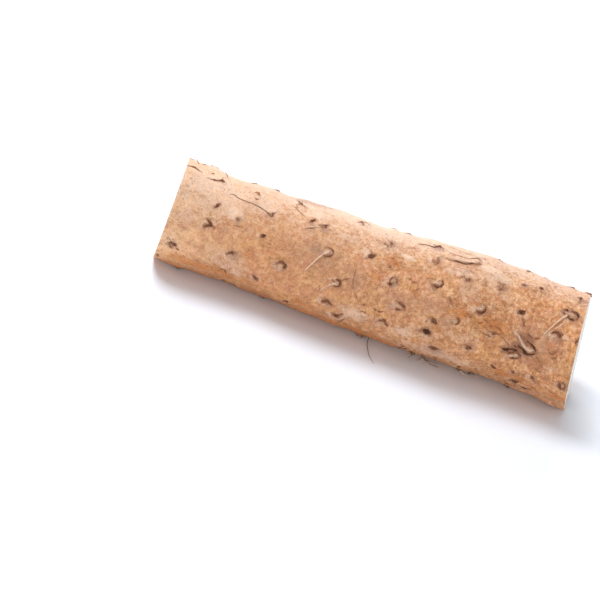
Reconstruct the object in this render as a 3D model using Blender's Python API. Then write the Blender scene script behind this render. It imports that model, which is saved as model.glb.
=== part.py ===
"""A cut length of Chinese yam that lies on its side, as one closed solid.

The yam lies along X, with its front towards -Y, its square cut at -X and its slanted cut at +X.
Its root scars and the thicker rootlets that lie along its skin are fused into it.
The origin is under the middle of its box, on the surface that it lies on.
"""
import math
import random

import bmesh
import bpy
import numpy as np
from mathutils import Matrix, Vector

MM = 0.001  # the dimensions below are in millimetres, the model is in metres

# The tuber, read along the piece from the middle of its left cut
MIDDLE_LENGTH = 215.6
RIGHT_CUT_LEAN = 7.8    # degrees from square, the top of the cut lies further in
LEFT_CUT_LEAN = 1.1     # the same at the left cut
LEFT_CUT_TURN = 1.8     # degrees, the front of the left cut lies further in
REST_SAG = 0.7          # how much the round underside is flattened where the piece lies
SIDES = 56
RINGS = 34

# Place along the piece, radius, and how far the middle line swings to the back
STATIONS = (
    (0, 26.6, -0.4),
    (14, 26.0, -0.6),
    (25, 25.6, 0.0),
    (38, 25.9, 1.2),
    (50, 25.7, 1.4),
    (72, 26.9, -0.2),
    (96, 27.1, -0.9),
    (118, 27.7, -0.2),
    (141, 28.8, -0.2),
    (157, 29.0, 0.4),
    (172, 28.7, 2.0),
    (182, 28.9, 2.2),
    (195, 28.4, 1.8),
    (203, 28.8, 0.4),
    (212, 29.2, -1.8),
    (219, 29.4, -2.6),
)

# Soft lumps of the skin: height, waves per metre along the piece, waves round it, and phase
LUMPS = (
    (0.28, 14, 1, 1.3),
    (0.20, 27, 2, 0.4),
    (0.16, 43, -3, 2.0),
    (0.12, 61, 4, 5.1),
)

# Scars on the front are placed as they are seen by an eye this many degrees round from the top
SIGHT = 59.0

# Each scar on the front: place along, distance below the middle line as seen, and width
DOTS = (
    (7, 17, 3.5), (19, -21.5, 2), (22, -9.5, 2.2), (33.5, -5.5, 2.4), (48, -13, 2.6), (48, -2, 3),
    (51.5, 18.5, 2.4), (60, -23, 3), (68.5, -16.5, 2.6), (70, 24.5, 2.2), (102, -11, 3),
    (132, -25, 3.4), (142, 10, 3.4), (149, 27.5, 2.2), (151, -14, 2.6), (162, 27.5, 2.4),
    (163, 17.5, 3), (172, 7, 2.2), (178, 22.5, 2.4), (178.5, -21, 2.6), (182, -7.5, 3.4),
    (187, -22, 2.4), (188, 21.5, 2.2), (187.5, 27.5, 2.4), (198, 20, 2.2), (207, -25, 2.4),
)
RINGED = (
    (21, 1, 4), (36.5, 12, 3.6), (39, -19.5, 3.4), (62, 8, 4), (89, 17.5, 4), (92, -24.5, 2.8),
    (108, -19.5, 4), (119, 18.5, 4), (124, 8, 4), (133, -18.5, 3.2), (138, -7.5, 4),
    (140, 16, 3.6), (152, -23, 4), (152, 7, 3.4), (168, -16.5, 3.2), (185, 13, 5), (192, 8, 4),
    (201, -3.5, 4), (205, -16, 4.4), (211, 18, 4),
)
STUBS = ((82, -5, 3.6), (91, 7, 3.4), (116, -2, 3.6), (162, -2, 4))
STREAKS = (
    (75, -16, 3.4), (96, 22, 4), (132, 26, 3), (147, 23, 4.6), (190, 25, 4), (196, 26, 3),
)
EDGE_SCARS = (
    (34.5, -25.4, 3), (37, 25.4, 2.6), (43, 25.4, 2.6), (47, -25.4, 3.4), (116, -27.4, 3),
    (163, -28.5, 3), (179, -28.3, 3), (201, -28.5, 3),
)

# Lying rootlets on the front: thickness, then the places that each one runs through
ROOTLETS = (
    (1.2, ((82, -5), (79.5, -2.5), (77, 1), (75, 4), (73, 8))),
    (1.1, ((91, 7), (89, 8.5), (86.5, 10.5), (84, 13))),
    (1.4, ((153, -22.6), (148, -22.6), (143, -22.2), (136, -21.5))),
    (1.5, ((194, 8.5), (190, 6.5), (186, 4.2), (180, 3))),
    (1.1, ((204.5, -15.5), (202, -13.5), (199.5, -10), (195.5, -3))),
    (0.9, ((48, -13), (44, -14.2), (38, -15.2), (32, -16), (27, -17))),
    (0.9, ((1.5, -22), (4, -22.4), (7.5, -22))),
    (0.9, ((131, -25), (126.5, -24.6), (122, -24))),
)

# The side that the eye doesn't see takes scars by a rule
HIDDEN_SEED = 11
HIDDEN_SCARS = 58
HIDDEN_ROOTLETS = 7
HIDDEN_FROM = 152.0     # degrees round from the top, on by the front and under the piece
HIDDEN_TO = 326.0
RESTING_HALF = 24.0     # degrees each side of straight down that stay bare
SCAR_SPACING = 9.5
CUT_MARGIN = 5.0
SMALLEST_SCAR = 2.2
WIDEST_SCAR = 4.2

# How scars stand out: height for each millimetre of width, most height, and their base's depth
SCAR_RISE = 0.26
SCAR_TOP_LIMIT = 1.0
SCAR_SINK = 1.0
STUB_RISE = 1.7
STREAK_STRETCH = 1.7

STRAIGHT_DOWN = 180.0


def station(along):
    """Radius and sideways swing of the middle line at a place, on smooth curves."""
    table = np.array(STATIONS, dtype=float)
    places = table[:, 0]
    slopes = np.gradient(table, places, axis=0)
    index = int(np.clip(np.searchsorted(places, along) - 1, 0, len(places) - 2))
    step = places[index + 1] - places[index]
    t = float(np.clip((along - places[index]) / step, 0, 1))
    value = (
        table[index] * (2 * t**3 - 3 * t**2 + 1)
        + slopes[index] * step * (t**3 - 2 * t**2 + t)
        + table[index + 1] * (3 * t**2 - 2 * t**3)
        + slopes[index + 1] * step * (t**3 - t**2)
    )
    return float(value[1]), float(value[2])


def lump(along, angle):
    """Height of the skin's soft lumps."""
    return sum(
        height * math.sin(2 * math.pi * waves * along * MM + turns * angle + phase)
        for height, waves, turns, phase in LUMPS
    )


def middle(along):
    """Middle of the section at a place along the piece."""
    radius, side = station(along)
    return Vector((along, side, radius - REST_SAG))


def surface(along, degrees, height=0.0):
    """Point on the skin or a little over it; degrees run from straight up towards the front."""
    angle = math.radians(degrees)
    radius, _ = station(along)
    reach = radius + lump(along, angle) + height
    point = middle(along) + reach * Vector((0, -math.sin(angle), math.cos(angle)))
    point.z = max(point.z, 0.0)
    return point


def left_cut(offset):
    """Place along the piece where the left cut lies, for a point's offset from the middle line."""
    turn = math.tan(math.radians(LEFT_CUT_TURN))
    lean = math.tan(math.radians(LEFT_CUT_LEAN))
    return lean * offset.z - turn * offset.y


def right_cut(offset):
    """Place along the piece where the right cut lies."""
    return MIDDLE_LENGTH - math.tan(math.radians(RIGHT_CUT_LEAN)) * offset.z


def between_cuts(share, degrees):
    """Point on the skin at a share of the way from the left cut to the right one."""
    along = share * MIDDLE_LENGTH
    for _ in range(3):
        point = surface(along, degrees)
        offset = point - middle(along)
        along = (1 - share) * left_cut(offset) + share * right_cut(offset)
    return Vector((along, point.y, point.z))


def skin_frame(along, degrees):
    """Matrix of a place on the skin: X runs along the piece, Z stands out of the skin."""
    lengthwise = (surface(along + 1, degrees) - surface(along - 1, degrees)).normalized()
    crosswise = (surface(along, degrees + 2) - surface(along, degrees - 2)).normalized()
    outwards = crosswise.cross(lengthwise).normalized()
    if outwards.dot(surface(along, degrees) - middle(along)) < 0:
        outwards.negate()
    sideways = outwards.cross(lengthwise)
    turn = Matrix((lengthwise, sideways, outwards)).transposed().to_4x4()
    return Matrix.Translation(surface(along, degrees)) @ turn


def seen_at(along, below):
    """Degrees round the piece of a place that the eye sees this far below the middle line."""
    radius, _ = station(along)
    return SIGHT + math.degrees(math.asin(max(-1.0, min(1.0, below / radius))))


def make_material(name, colour, roughness):
    """Principled material of one plain colour."""
    material = bpy.data.materials.new(name)
    material.use_nodes = True
    shader = material.node_tree.nodes["Principled BSDF"]
    shader.inputs["Base Color"].default_value = (*colour, 1)
    shader.inputs["Roughness"].default_value = roughness
    shader.inputs["Metallic"].default_value = 0.0
    return material


def add_object(name, mesh, collection):
    """New object for a mesh."""
    item = bpy.data.objects.new(name, mesh)
    collection.objects.link(item)
    return item


def make_tuber():
    """The tuber without its scars: a cylinder whose rings are moved out to the skin."""
    shape = bmesh.new()
    bmesh.ops.create_cone(
        shape, cap_ends=True, segments=SIDES, radius1=1, radius2=1, depth=1,
        matrix=Matrix.Rotation(math.radians(90), 4, "Y"),
    )
    lengthwise = [e for e in shape.edges if abs(e.verts[0].co.x - e.verts[1].co.x) > 0.5]
    bmesh.ops.subdivide_edges(shape, edges=lengthwise, cuts=RINGS - 1, use_grid_fill=True)
    for vert in shape.verts:
        degrees = math.degrees(math.atan2(-vert.co.y, vert.co.z))
        vert.co = between_cuts(vert.co.x + 0.5, degrees) * MM
    bmesh.ops.recalc_face_normals(shape, faces=shape.faces)
    mesh = bpy.data.meshes.new("yam")
    shape.to_mesh(mesh)
    shape.free()
    return add_object("yam", mesh, bpy.context.scene.collection)


def add_scar(forms, along, degrees, width, rise, stretch=1.0, spin=0.0):
    """A low knob with six or seven sides, its base sunk into the skin."""
    sides = 6 if width < 3.5 else 7
    shape = bmesh.new()
    bmesh.ops.create_cone(
        shape, cap_ends=True, segments=sides, radius1=0.62 * width, radius2=0.27 * width,
        depth=rise + SCAR_SINK,
        matrix=Matrix.Translation((0, 0, (rise - SCAR_SINK) / 2)),
    )
    turn = Matrix.Rotation(spin, 4, "Z") @ Matrix.Diagonal((stretch, 1, 1, 1))
    shape.transform(Matrix.Scale(MM, 4) @ skin_frame(along, degrees) @ turn)
    mesh = bpy.data.meshes.new("scar")
    shape.to_mesh(mesh)
    shape.free()
    add_object("scar", mesh, forms)


def add_front_scars(forms):
    """Scars on the side that the eye sees."""
    draw = random.Random(HIDDEN_SEED + 1)
    for along, below, width in DOTS + RINGED + EDGE_SCARS:
        rise = min(SCAR_RISE * width, SCAR_TOP_LIMIT)
        add_scar(forms, along, seen_at(along, below), width, rise, spin=draw.uniform(0, 1))
    for along, below, width in STUBS:
        add_scar(forms, along, seen_at(along, below), width, STUB_RISE, spin=draw.uniform(0, 1))
    for along, below, width in STREAKS:
        degrees = seen_at(along, below)
        add_scar(forms, along, degrees, width / STREAK_STRETCH, SCAR_TOP_LIMIT / 2, STREAK_STRETCH)


def hidden_places():
    """Places of the scars on the hidden side, spread by a seeded draw that keeps them apart."""
    draw = random.Random(HIDDEN_SEED)
    front = DOTS + RINGED + STUBS + STREAKS + EDGE_SCARS
    taken = [surface(along, seen_at(along, below)) for along, below, _ in front]
    places = []
    while len(places) < HIDDEN_SCARS:
        along = draw.uniform(CUT_MARGIN, MIDDLE_LENGTH - CUT_MARGIN)
        degrees = draw.uniform(HIDDEN_FROM, HIDDEN_TO)
        width = draw.uniform(SMALLEST_SCAR, WIDEST_SCAR)
        point = surface(along, degrees)
        crowded = any((point - other).length < SCAR_SPACING for other in taken)
        if crowded or abs(degrees - STRAIGHT_DOWN) < RESTING_HALF:
            continue
        taken.append(point)
        places.append((along, degrees, width))
    return places


def add_rootlet(forms, thickness, places):
    """A rootlet that lies along the skin, half sunk in it, and thins out to its far end."""
    curve = bpy.data.curves.new("rootlet", "CURVE")
    curve.dimensions = "3D"
    curve.bevel_depth = thickness / 2 * MM
    curve.bevel_resolution = 0
    curve.use_fill_caps = True
    spline = curve.splines.new("POLY")
    spline.points.add(len(places) - 1)
    for index, (along, degrees) in enumerate(places):
        over = -0.6 * thickness if index in (0, len(places) - 1) else 0.1 * thickness
        spline.points[index].co = (*(surface(along, degrees, over) * MM), 1)
        spline.points[index].radius = 1 - 0.4 * index / (len(places) - 1)
    guide = add_object("rootlet_guide", curve, bpy.context.scene.collection)
    shape = bmesh.new()
    shape.from_mesh(guide.to_mesh())
    guide.to_mesh_clear()
    bmesh.ops.remove_doubles(shape, verts=shape.verts, dist=0.001 * MM)
    bmesh.ops.recalc_face_normals(shape, faces=shape.faces)
    mesh = bpy.data.meshes.new("rootlet")
    shape.to_mesh(mesh)
    shape.free()
    bpy.data.objects.remove(guide)
    add_object("rootlet", mesh, forms)


def add_hidden_side(forms):
    """Scars and rootlets on the side that the eye doesn't see."""
    draw = random.Random(HIDDEN_SEED + 2)
    places = hidden_places()
    for along, degrees, width in places:
        add_scar(forms, along, degrees, width, SCAR_RISE * width, spin=draw.uniform(0, 1))
    roots = [p for p in places if 25 < p[0] < MIDDLE_LENGTH - 25 and p[1] > 225]
    for along, degrees, _ in draw.sample(roots, HIDDEN_ROOTLETS):
        lengthwise = draw.choice((-1, 1)) * draw.uniform(8, 15)
        round_by = draw.uniform(-16, 16)
        route = [
            (along + share * lengthwise, degrees + (share ** 1.5) * round_by)
            for share in (0.0, 0.35, 0.7, 1.0)
        ]
        add_rootlet(forms, draw.uniform(0.9, 1.2), route)


def fuse(yam, forms):
    """One Boolean union of the tuber with its scars and rootlets, applied."""
    union = yam.modifiers.new("union", "BOOLEAN")
    union.operation = "UNION"
    union.operand_type = "COLLECTION"
    union.collection = forms
    union.solver = "EXACT"
    evaluated = yam.evaluated_get(bpy.context.evaluated_depsgraph_get())
    fused = bpy.data.meshes.new_from_object(evaluated)
    yam.modifiers.clear()
    yam.data = fused
    for item in list(forms.objects):
        bpy.data.objects.remove(item)
    bpy.data.collections.remove(forms)


def centre(yam):
    """Moves the mesh so that the origin is under the middle of its box."""
    corners = np.array([v.co for v in yam.data.vertices])
    low = corners.min(axis=0)
    high = corners.max(axis=0)
    shift = Vector((-(low[0] + high[0]) / 2, -(low[1] + high[1]) / 2, -low[2]))
    yam.data.transform(Matrix.Translation(shift))
    return shift


def paint(yam, shift):
    """Skin all over, and white flesh on the two cuts."""
    yam.data.materials.clear()
    yam.data.materials.append(make_material("yam_skin", (0.56, 0.34, 0.18), 0.7))
    yam.data.materials.append(make_material("yam_flesh", (0.87, 0.87, 0.82), 0.45))
    for face in yam.data.polygons:
        along = (face.center.x - shift.x) / MM
        at_left = face.normal.x < -0.9 and along < CUT_MARGIN
        at_right = face.normal.x > 0.9 and along > MIDDLE_LENGTH - CUT_MARGIN
        face.material_index = 1 if at_left or at_right else 0
    yam.data.shade_smooth()
    yam.data.set_sharp_from_angle(angle=math.radians(38))


def main():
    for item in list(bpy.data.objects):
        bpy.data.objects.remove(item)
    yam = make_tuber()
    forms = bpy.data.collections.new("scars_and_rootlets")
    bpy.context.scene.collection.children.link(forms)
    add_front_scars(forms)
    add_hidden_side(forms)
    for thickness, places in ROOTLETS:
        add_rootlet(forms, thickness, [(a, seen_at(a, below)) for a, below in places])
    fuse(yam, forms)
    paint(yam, centre(yam))


main()
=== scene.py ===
"""A cut length of Chinese yam on a pale studio floor: skin, cut flesh, root scars and rootlets.

The yam lies along X, with its front towards -Y. Its own measures below are in millimetres, read
along the piece from the middle of its left cut, and in degrees round it from straight up.
"""
import math
import random
from collections import namedtuple

import bmesh
import bpy
import numpy as np
from bpy.props import FloatProperty, FloatVectorProperty, IntProperty, PointerProperty
from mathutils import Matrix, Vector, noise
from mathutils.bvhtree import BVHTree


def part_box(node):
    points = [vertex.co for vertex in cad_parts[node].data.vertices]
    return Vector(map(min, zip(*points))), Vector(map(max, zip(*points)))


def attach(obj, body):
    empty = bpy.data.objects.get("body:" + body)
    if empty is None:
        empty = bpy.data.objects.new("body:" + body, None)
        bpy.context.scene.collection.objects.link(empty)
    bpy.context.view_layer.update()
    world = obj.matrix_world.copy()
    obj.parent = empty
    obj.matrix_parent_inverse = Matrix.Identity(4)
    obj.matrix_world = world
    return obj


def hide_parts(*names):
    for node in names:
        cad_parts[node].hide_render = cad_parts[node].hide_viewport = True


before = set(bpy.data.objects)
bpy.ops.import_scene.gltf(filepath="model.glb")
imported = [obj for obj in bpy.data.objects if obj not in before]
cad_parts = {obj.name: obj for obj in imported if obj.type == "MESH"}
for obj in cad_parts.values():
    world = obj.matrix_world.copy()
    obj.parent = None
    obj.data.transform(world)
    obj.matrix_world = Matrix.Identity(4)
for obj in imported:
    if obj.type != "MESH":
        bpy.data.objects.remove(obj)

bl_info = {
    "name": "Chinese yam",
    "version": (1, 0, 0),
    "blender": (4, 5, 0),
    "location": "3D View > Sidebar > Yam",
    "description": "Builds a cut length of Chinese yam with its root scars, and a small studio",
    "category": "Add Mesh",
}

MM = 0.001

# The tuber, the same as in the solid that the frame holds
MIDDLE_LENGTH = 215.6
RIGHT_CUT_LEAN = 7.8
LEFT_CUT_LEAN = 1.1
LEFT_CUT_TURN = 1.8
REST_SAG = 0.7

# Place along the piece, radius, and how far the middle line swings to the back
STATIONS = (
    (0, 26.6, -0.4),
    (14, 26.0, -0.6),
    (25, 25.6, 0.0),
    (38, 25.9, 1.2),
    (50, 25.7, 1.4),
    (72, 26.9, -0.2),
    (96, 27.1, -0.9),
    (118, 27.7, -0.2),
    (141, 28.8, -0.2),
    (157, 29.0, 0.4),
    (172, 28.7, 2.0),
    (182, 28.9, 2.2),
    (195, 28.4, 1.8),
    (203, 28.8, 0.4),
    (212, 29.2, -1.8),
    (219, 29.4, -2.6),
)
STATION_TABLE = np.array(STATIONS, dtype=float)
STATION_SLOPES = np.gradient(STATION_TABLE, STATION_TABLE[:, 0], axis=0)

# Soft lumps of the skin: height, waves per metre along the piece, waves round it, and phase
LUMPS = (
    (0.28, 14, 1, 1.3),
    (0.20, 27, 2, 0.4),
    (0.16, 43, -3, 2.0),
    (0.12, 61, 4, 5.1),
)

# Scars on the front are placed as they are seen by an eye this many degrees round from the top
SIGHT = 59.0

# Each scar on the front: place along, distance below the middle line as seen, and width
DOTS = (
    (7, 17, 3.5), (19, -21.5, 2), (22, -9.5, 2.2), (33.5, -5.5, 2.4), (48, -13, 2.6), (48, -2, 3),
    (51.5, 18.5, 2.4), (60, -23, 3), (68.5, -16.5, 2.6), (70, 24.5, 2.2), (102, -11, 3),
    (132, -25, 3.4), (142, 10, 3.4), (149, 27.5, 2.2), (151, -14, 2.6), (162, 27.5, 2.4),
    (163, 17.5, 3), (172, 7, 2.2), (178, 22.5, 2.4), (178.5, -21, 2.6), (182, -7.5, 3.4),
    (187, -22, 2.4), (188, 21.5, 2.2), (187.5, 27.5, 2.4), (198, 20, 2.2), (207, -25, 2.4),
)
RINGED = (
    (21, 1, 4), (36.5, 12, 3.6), (39, -19.5, 3.4), (62, 8, 4), (89, 17.5, 4), (92, -24.5, 2.8),
    (108, -19.5, 4), (119, 18.5, 4), (124, 8, 4), (133, -18.5, 3.2), (138, -7.5, 4),
    (140, 16, 3.6), (152, -23, 4), (152, 7, 3.4), (168, -16.5, 3.2), (185, 13, 4), (192, 8, 3.4),
    (201, -3.5, 4), (205, -16, 4.4), (213, 18.2, 3.6),
)
STUBS = ((82, -5, 3.6), (91, 7, 3.4), (116, -2, 3.6), (162, -2, 4))
STREAKS = (
    (75, -16, 3.4), (96, 22, 4), (132, 26, 3), (147, 23, 4.6), (190, 25, 4), (196, 26, 3),
)
EDGE_SCARS = (
    (34.5, -25.4, 3), (37, 25.4, 2.6), (43, 25.4, 2.6), (47, -25.4, 3.4), (116, -27.4, 3),
    (163, -28.5, 3), (179, -28.3, 3), (201, -28.5, 3),
)
SPECKS = (
    (3.5, -1.5, 1.5), (5, -16.5, 1.5), (8.5, -26, 1.6), (9, 6.5, 1.3), (14, -23.5, 1.5),
    (22, -15.5, 1.3), (22, 11, 1.4), (25, 12.5, 1.2), (35, 21.5, 2), (49.6, -14.7, 1.7),
    (53, -20, 1.3), (54, 15, 1.4), (55, -21, 1.2), (67, 19, 1.4), (85, 17.5, 1.3),
    (107, 13, 1.4), (108, 19, 1.2), (108, 16.5, 1.2), (109, -23.5, 1.4), (113, -15.5, 1.6),
    (113, -13, 1.6), (114.5, -10.5, 1.6), (122, 25.5, 1.5), (124, -6, 1.3), (128, -1.5, 1.3),
    (135, 17.5, 1.5), (138.6, 11, 1.5), (147, 10.5, 1.6), (148, -14.5, 1.3), (180, -19, 1.4),
    (203, 4, 2), (204, -26, 1.3),
)

# Patches of the front: kind, place along, distance below the middle line as seen, length and
# breadth, slant in degrees, and strength
PATCHES = (
    # The long pale bands along the top, over most of the length, are partly the skin's bloom and partly
    # painted highlight where the light from above and behind falls.
    ("pale", 105, -27, 270, 36, 0, 1.0),
    ("pale", 75, -22, 150, 44, 0, 0.5),
    ("pale", 18, -17, 60, 36, 0, 0.8),
    ("pale", 43, -18, 30, 22, 0, 0.75),
    ("pale", 60, -27.5, 130, 40, 0, 0.85),
    ("pale", 60, -15, 20, 12, 0, 0.5),
    ("pale", 88, -16, 16, 8, 0, 0.7),
    ("pale", 109, -18, 12, 6, 0, 0.7),
    ("pale", 148, -16.5, 30, 7, 0, 0.6),
    ("pale", 42, 20, 12, 8, 0, 0.6),
    ("pale", 6, 16, 12, 10, 0, 0.5),
    ("pale", 84, -18, 50, 20, 0, 0.5),
    ("pale", 125, -28, 130, 48, 0, 0.9),
    ("pale", 171, -11, 30, 20, 0, 0.4),
    ("pale", 152, 25.5, 54, 10, 0, 0.65),
    ("pale", 141, 18.5, 12, 10, 0, 0.5),
    ("pale", 206, -4.5, 7, 4, 0, 0.6),
    ("pale", 163, -20, 28, 20, 0, 0.6),
    ("pale", 154, -10, 16, 14, 0, 0.5),
    ("pale", 187, -24, 30, 20, 0, 0.5),
    ("pale", 8, -3, 30, 24, 0, 0.5),
    ("pale", 34, 16, 34, 16, 0, 0.5),
    ("pale", 158, 14, 26, 16, 0, 0.35),
    ("pale", 71, -20.5, 18, 8, 0, 0.9),
    ("pale", 31, -8.2, 10, 8, 20, 1.3),
    ("pale", 7, -10, 20, 16, 0, 0.8),
    ("pale", 43, -15.5, 14, 8, 0, 0.9),
    ("pale", 99, -12.5, 9, 8, 20, 0.7),
    ("pale", 119.5, -15.8, 8, 2.6, 8, 1.6),
    ("pale", 141, -27.5, 36, 6, 0, 1.2),
    ("pale", 160.5, -22.6, 11, 5, -6, 2.2),
    ("pale", 167.5, -20.5, 14, 8, 0, 1.0),
    ("pale", 104, 19, 18, 10, 0, 0.8),
    ("pale", 130, 19.5, 14, 9, -15, 0.7),
    ("pale", 131, 26.8, 14, 2.5, 10, 0.7),
    ("pale", 196, -21, 12, 8, 0, 0.4),
    ("pale", 205, 12.5, 12, 2.5, 5, 0.5),
    ("grey", 74, -1, 66, 30, 0, 0.55),
    ("grey", 65, -25.5, 28, 9, 0, 1.0),
    ("grey", 69.5, -12, 10, 6, 0, 0.6),
    # Painted shadow below a rootlet's end.
    ("grey", 150, -18.5, 9, 4, 0, 0.8),
    ("grey", 119, -25.5, 16, 6, 0, 0.5),
    ("grey", 76, -4, 16, 11, 0, 0.85),
    ("grey", 146, 9, 18, 12, 0, 0.6),
    ("grey", 98, 2, 24, 20, 0, 0.6),
    ("grey", 123, 6, 26, 22, 0, 0.6),
    ("grey", 139, 2, 26, 30, 0, 0.6),
    ("grey", 194, 5, 44, 30, 0, 0.65),
    ("grey", 86, -6, 14, 9, 10, 0.55),
    ("grey", 95, 3.5, 8, 3.5, 25, 0.7),
    ("grey", 90, 9, 14, 8, 0, 0.5),
    ("grey", 107, -18, 18, 10, 0, 0.45),
    ("grey", 149, 6, 8, 6, 0, 0.5),
    ("grey", 188.6, 2, 8, 5, 0, 0.9),
    ("grey", 187, 10, 19, 11, -10, 1.1),
    ("grey", 206, -15, 14, 9, 0, 0.8),
    ("grey", 207, -24, 16, 12, 0, 0.6),
    ("grey", 210, 26, 18, 7, 0, 0.7),
    ("grey", 119, 3, 9, 6, 60, 0.5),
    # Rusty bands low on the front, left of the middle, are partly the skin's own colour and partly
    # painted warm reflected light along the underside.
    ("rust_and_reflection", 40, 26.5, 130, 13, 0, 1.8),
    ("rust_and_reflection", 105, 26.8, 80, 10, 0, 1.3),
    ("rust_and_reflection", 24, 22, 50, 8, 0, 0.8),
    ("rust_and_reflection", 8, -10, 16, 6, 0, 0.5),
    ("rust_and_reflection", 31, -1, 18, 8, 0, 0.4),
    ("rust_and_reflection", 43, 8, 12, 9, 0, 0.4),
    ("rust_and_reflection", 58, 2, 24, 16, 0, 0.4),
    ("rust_and_reflection", 108, -1, 14, 16, 0, 0.45),
    ("rust_and_reflection", 114, -12, 8, 9, 0, 0.8),
    ("rust_and_reflection", 127.8, -1, 5.5, 1.6, 25, 1.0),
    ("rust_and_reflection", 146.5, -2, 4.5, 1.6, -45, 0.9),
    ("rust_and_reflection", 154, 2, 14, 7, 0, 0.7),
    ("rust_and_reflection", 171, 3.5, 26, 9, -6, 0.8),
    ("rust_and_reflection", 169, -9, 12, 14, 0, 0.6),
    ("rust_and_reflection", 181, -19.5, 7, 3, 0, 0.8),
    ("rust_and_reflection", 202.5, 4, 9, 7, 0, 0.8),
    ("rust_and_reflection", 196, 12, 22, 8, 0, 0.5),
    ("rust_and_reflection", 185, 24, 34, 9, 0, 0.6),
    ("rust_and_reflection", 133, 26, 26, 6, 0, 0.5),
    ("rust_and_reflection", 213, 25, 14, 10, 0, 0.7),
    ("rust_and_reflection", 77, 23.5, 24, 8, 0, 0.6),
    ("dark", 188, 5.5, 15, 8, 25, 0.9),
    ("dark", 182.5, 12, 12, 7, -20, 0.85),
    ("dark", 182, 13, 7, 4, -20, 1.1),
    ("dark", 190, 3, 8, 5, 30, 1.0),
    ("dark", 191, 10, 10, 5, 0, 0.7),
    ("dark", 205.5, -17, 11, 6, 0, 0.8),
    ("dark", 213, 18.2, 6, 6, 0, 0.95),
)
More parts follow.
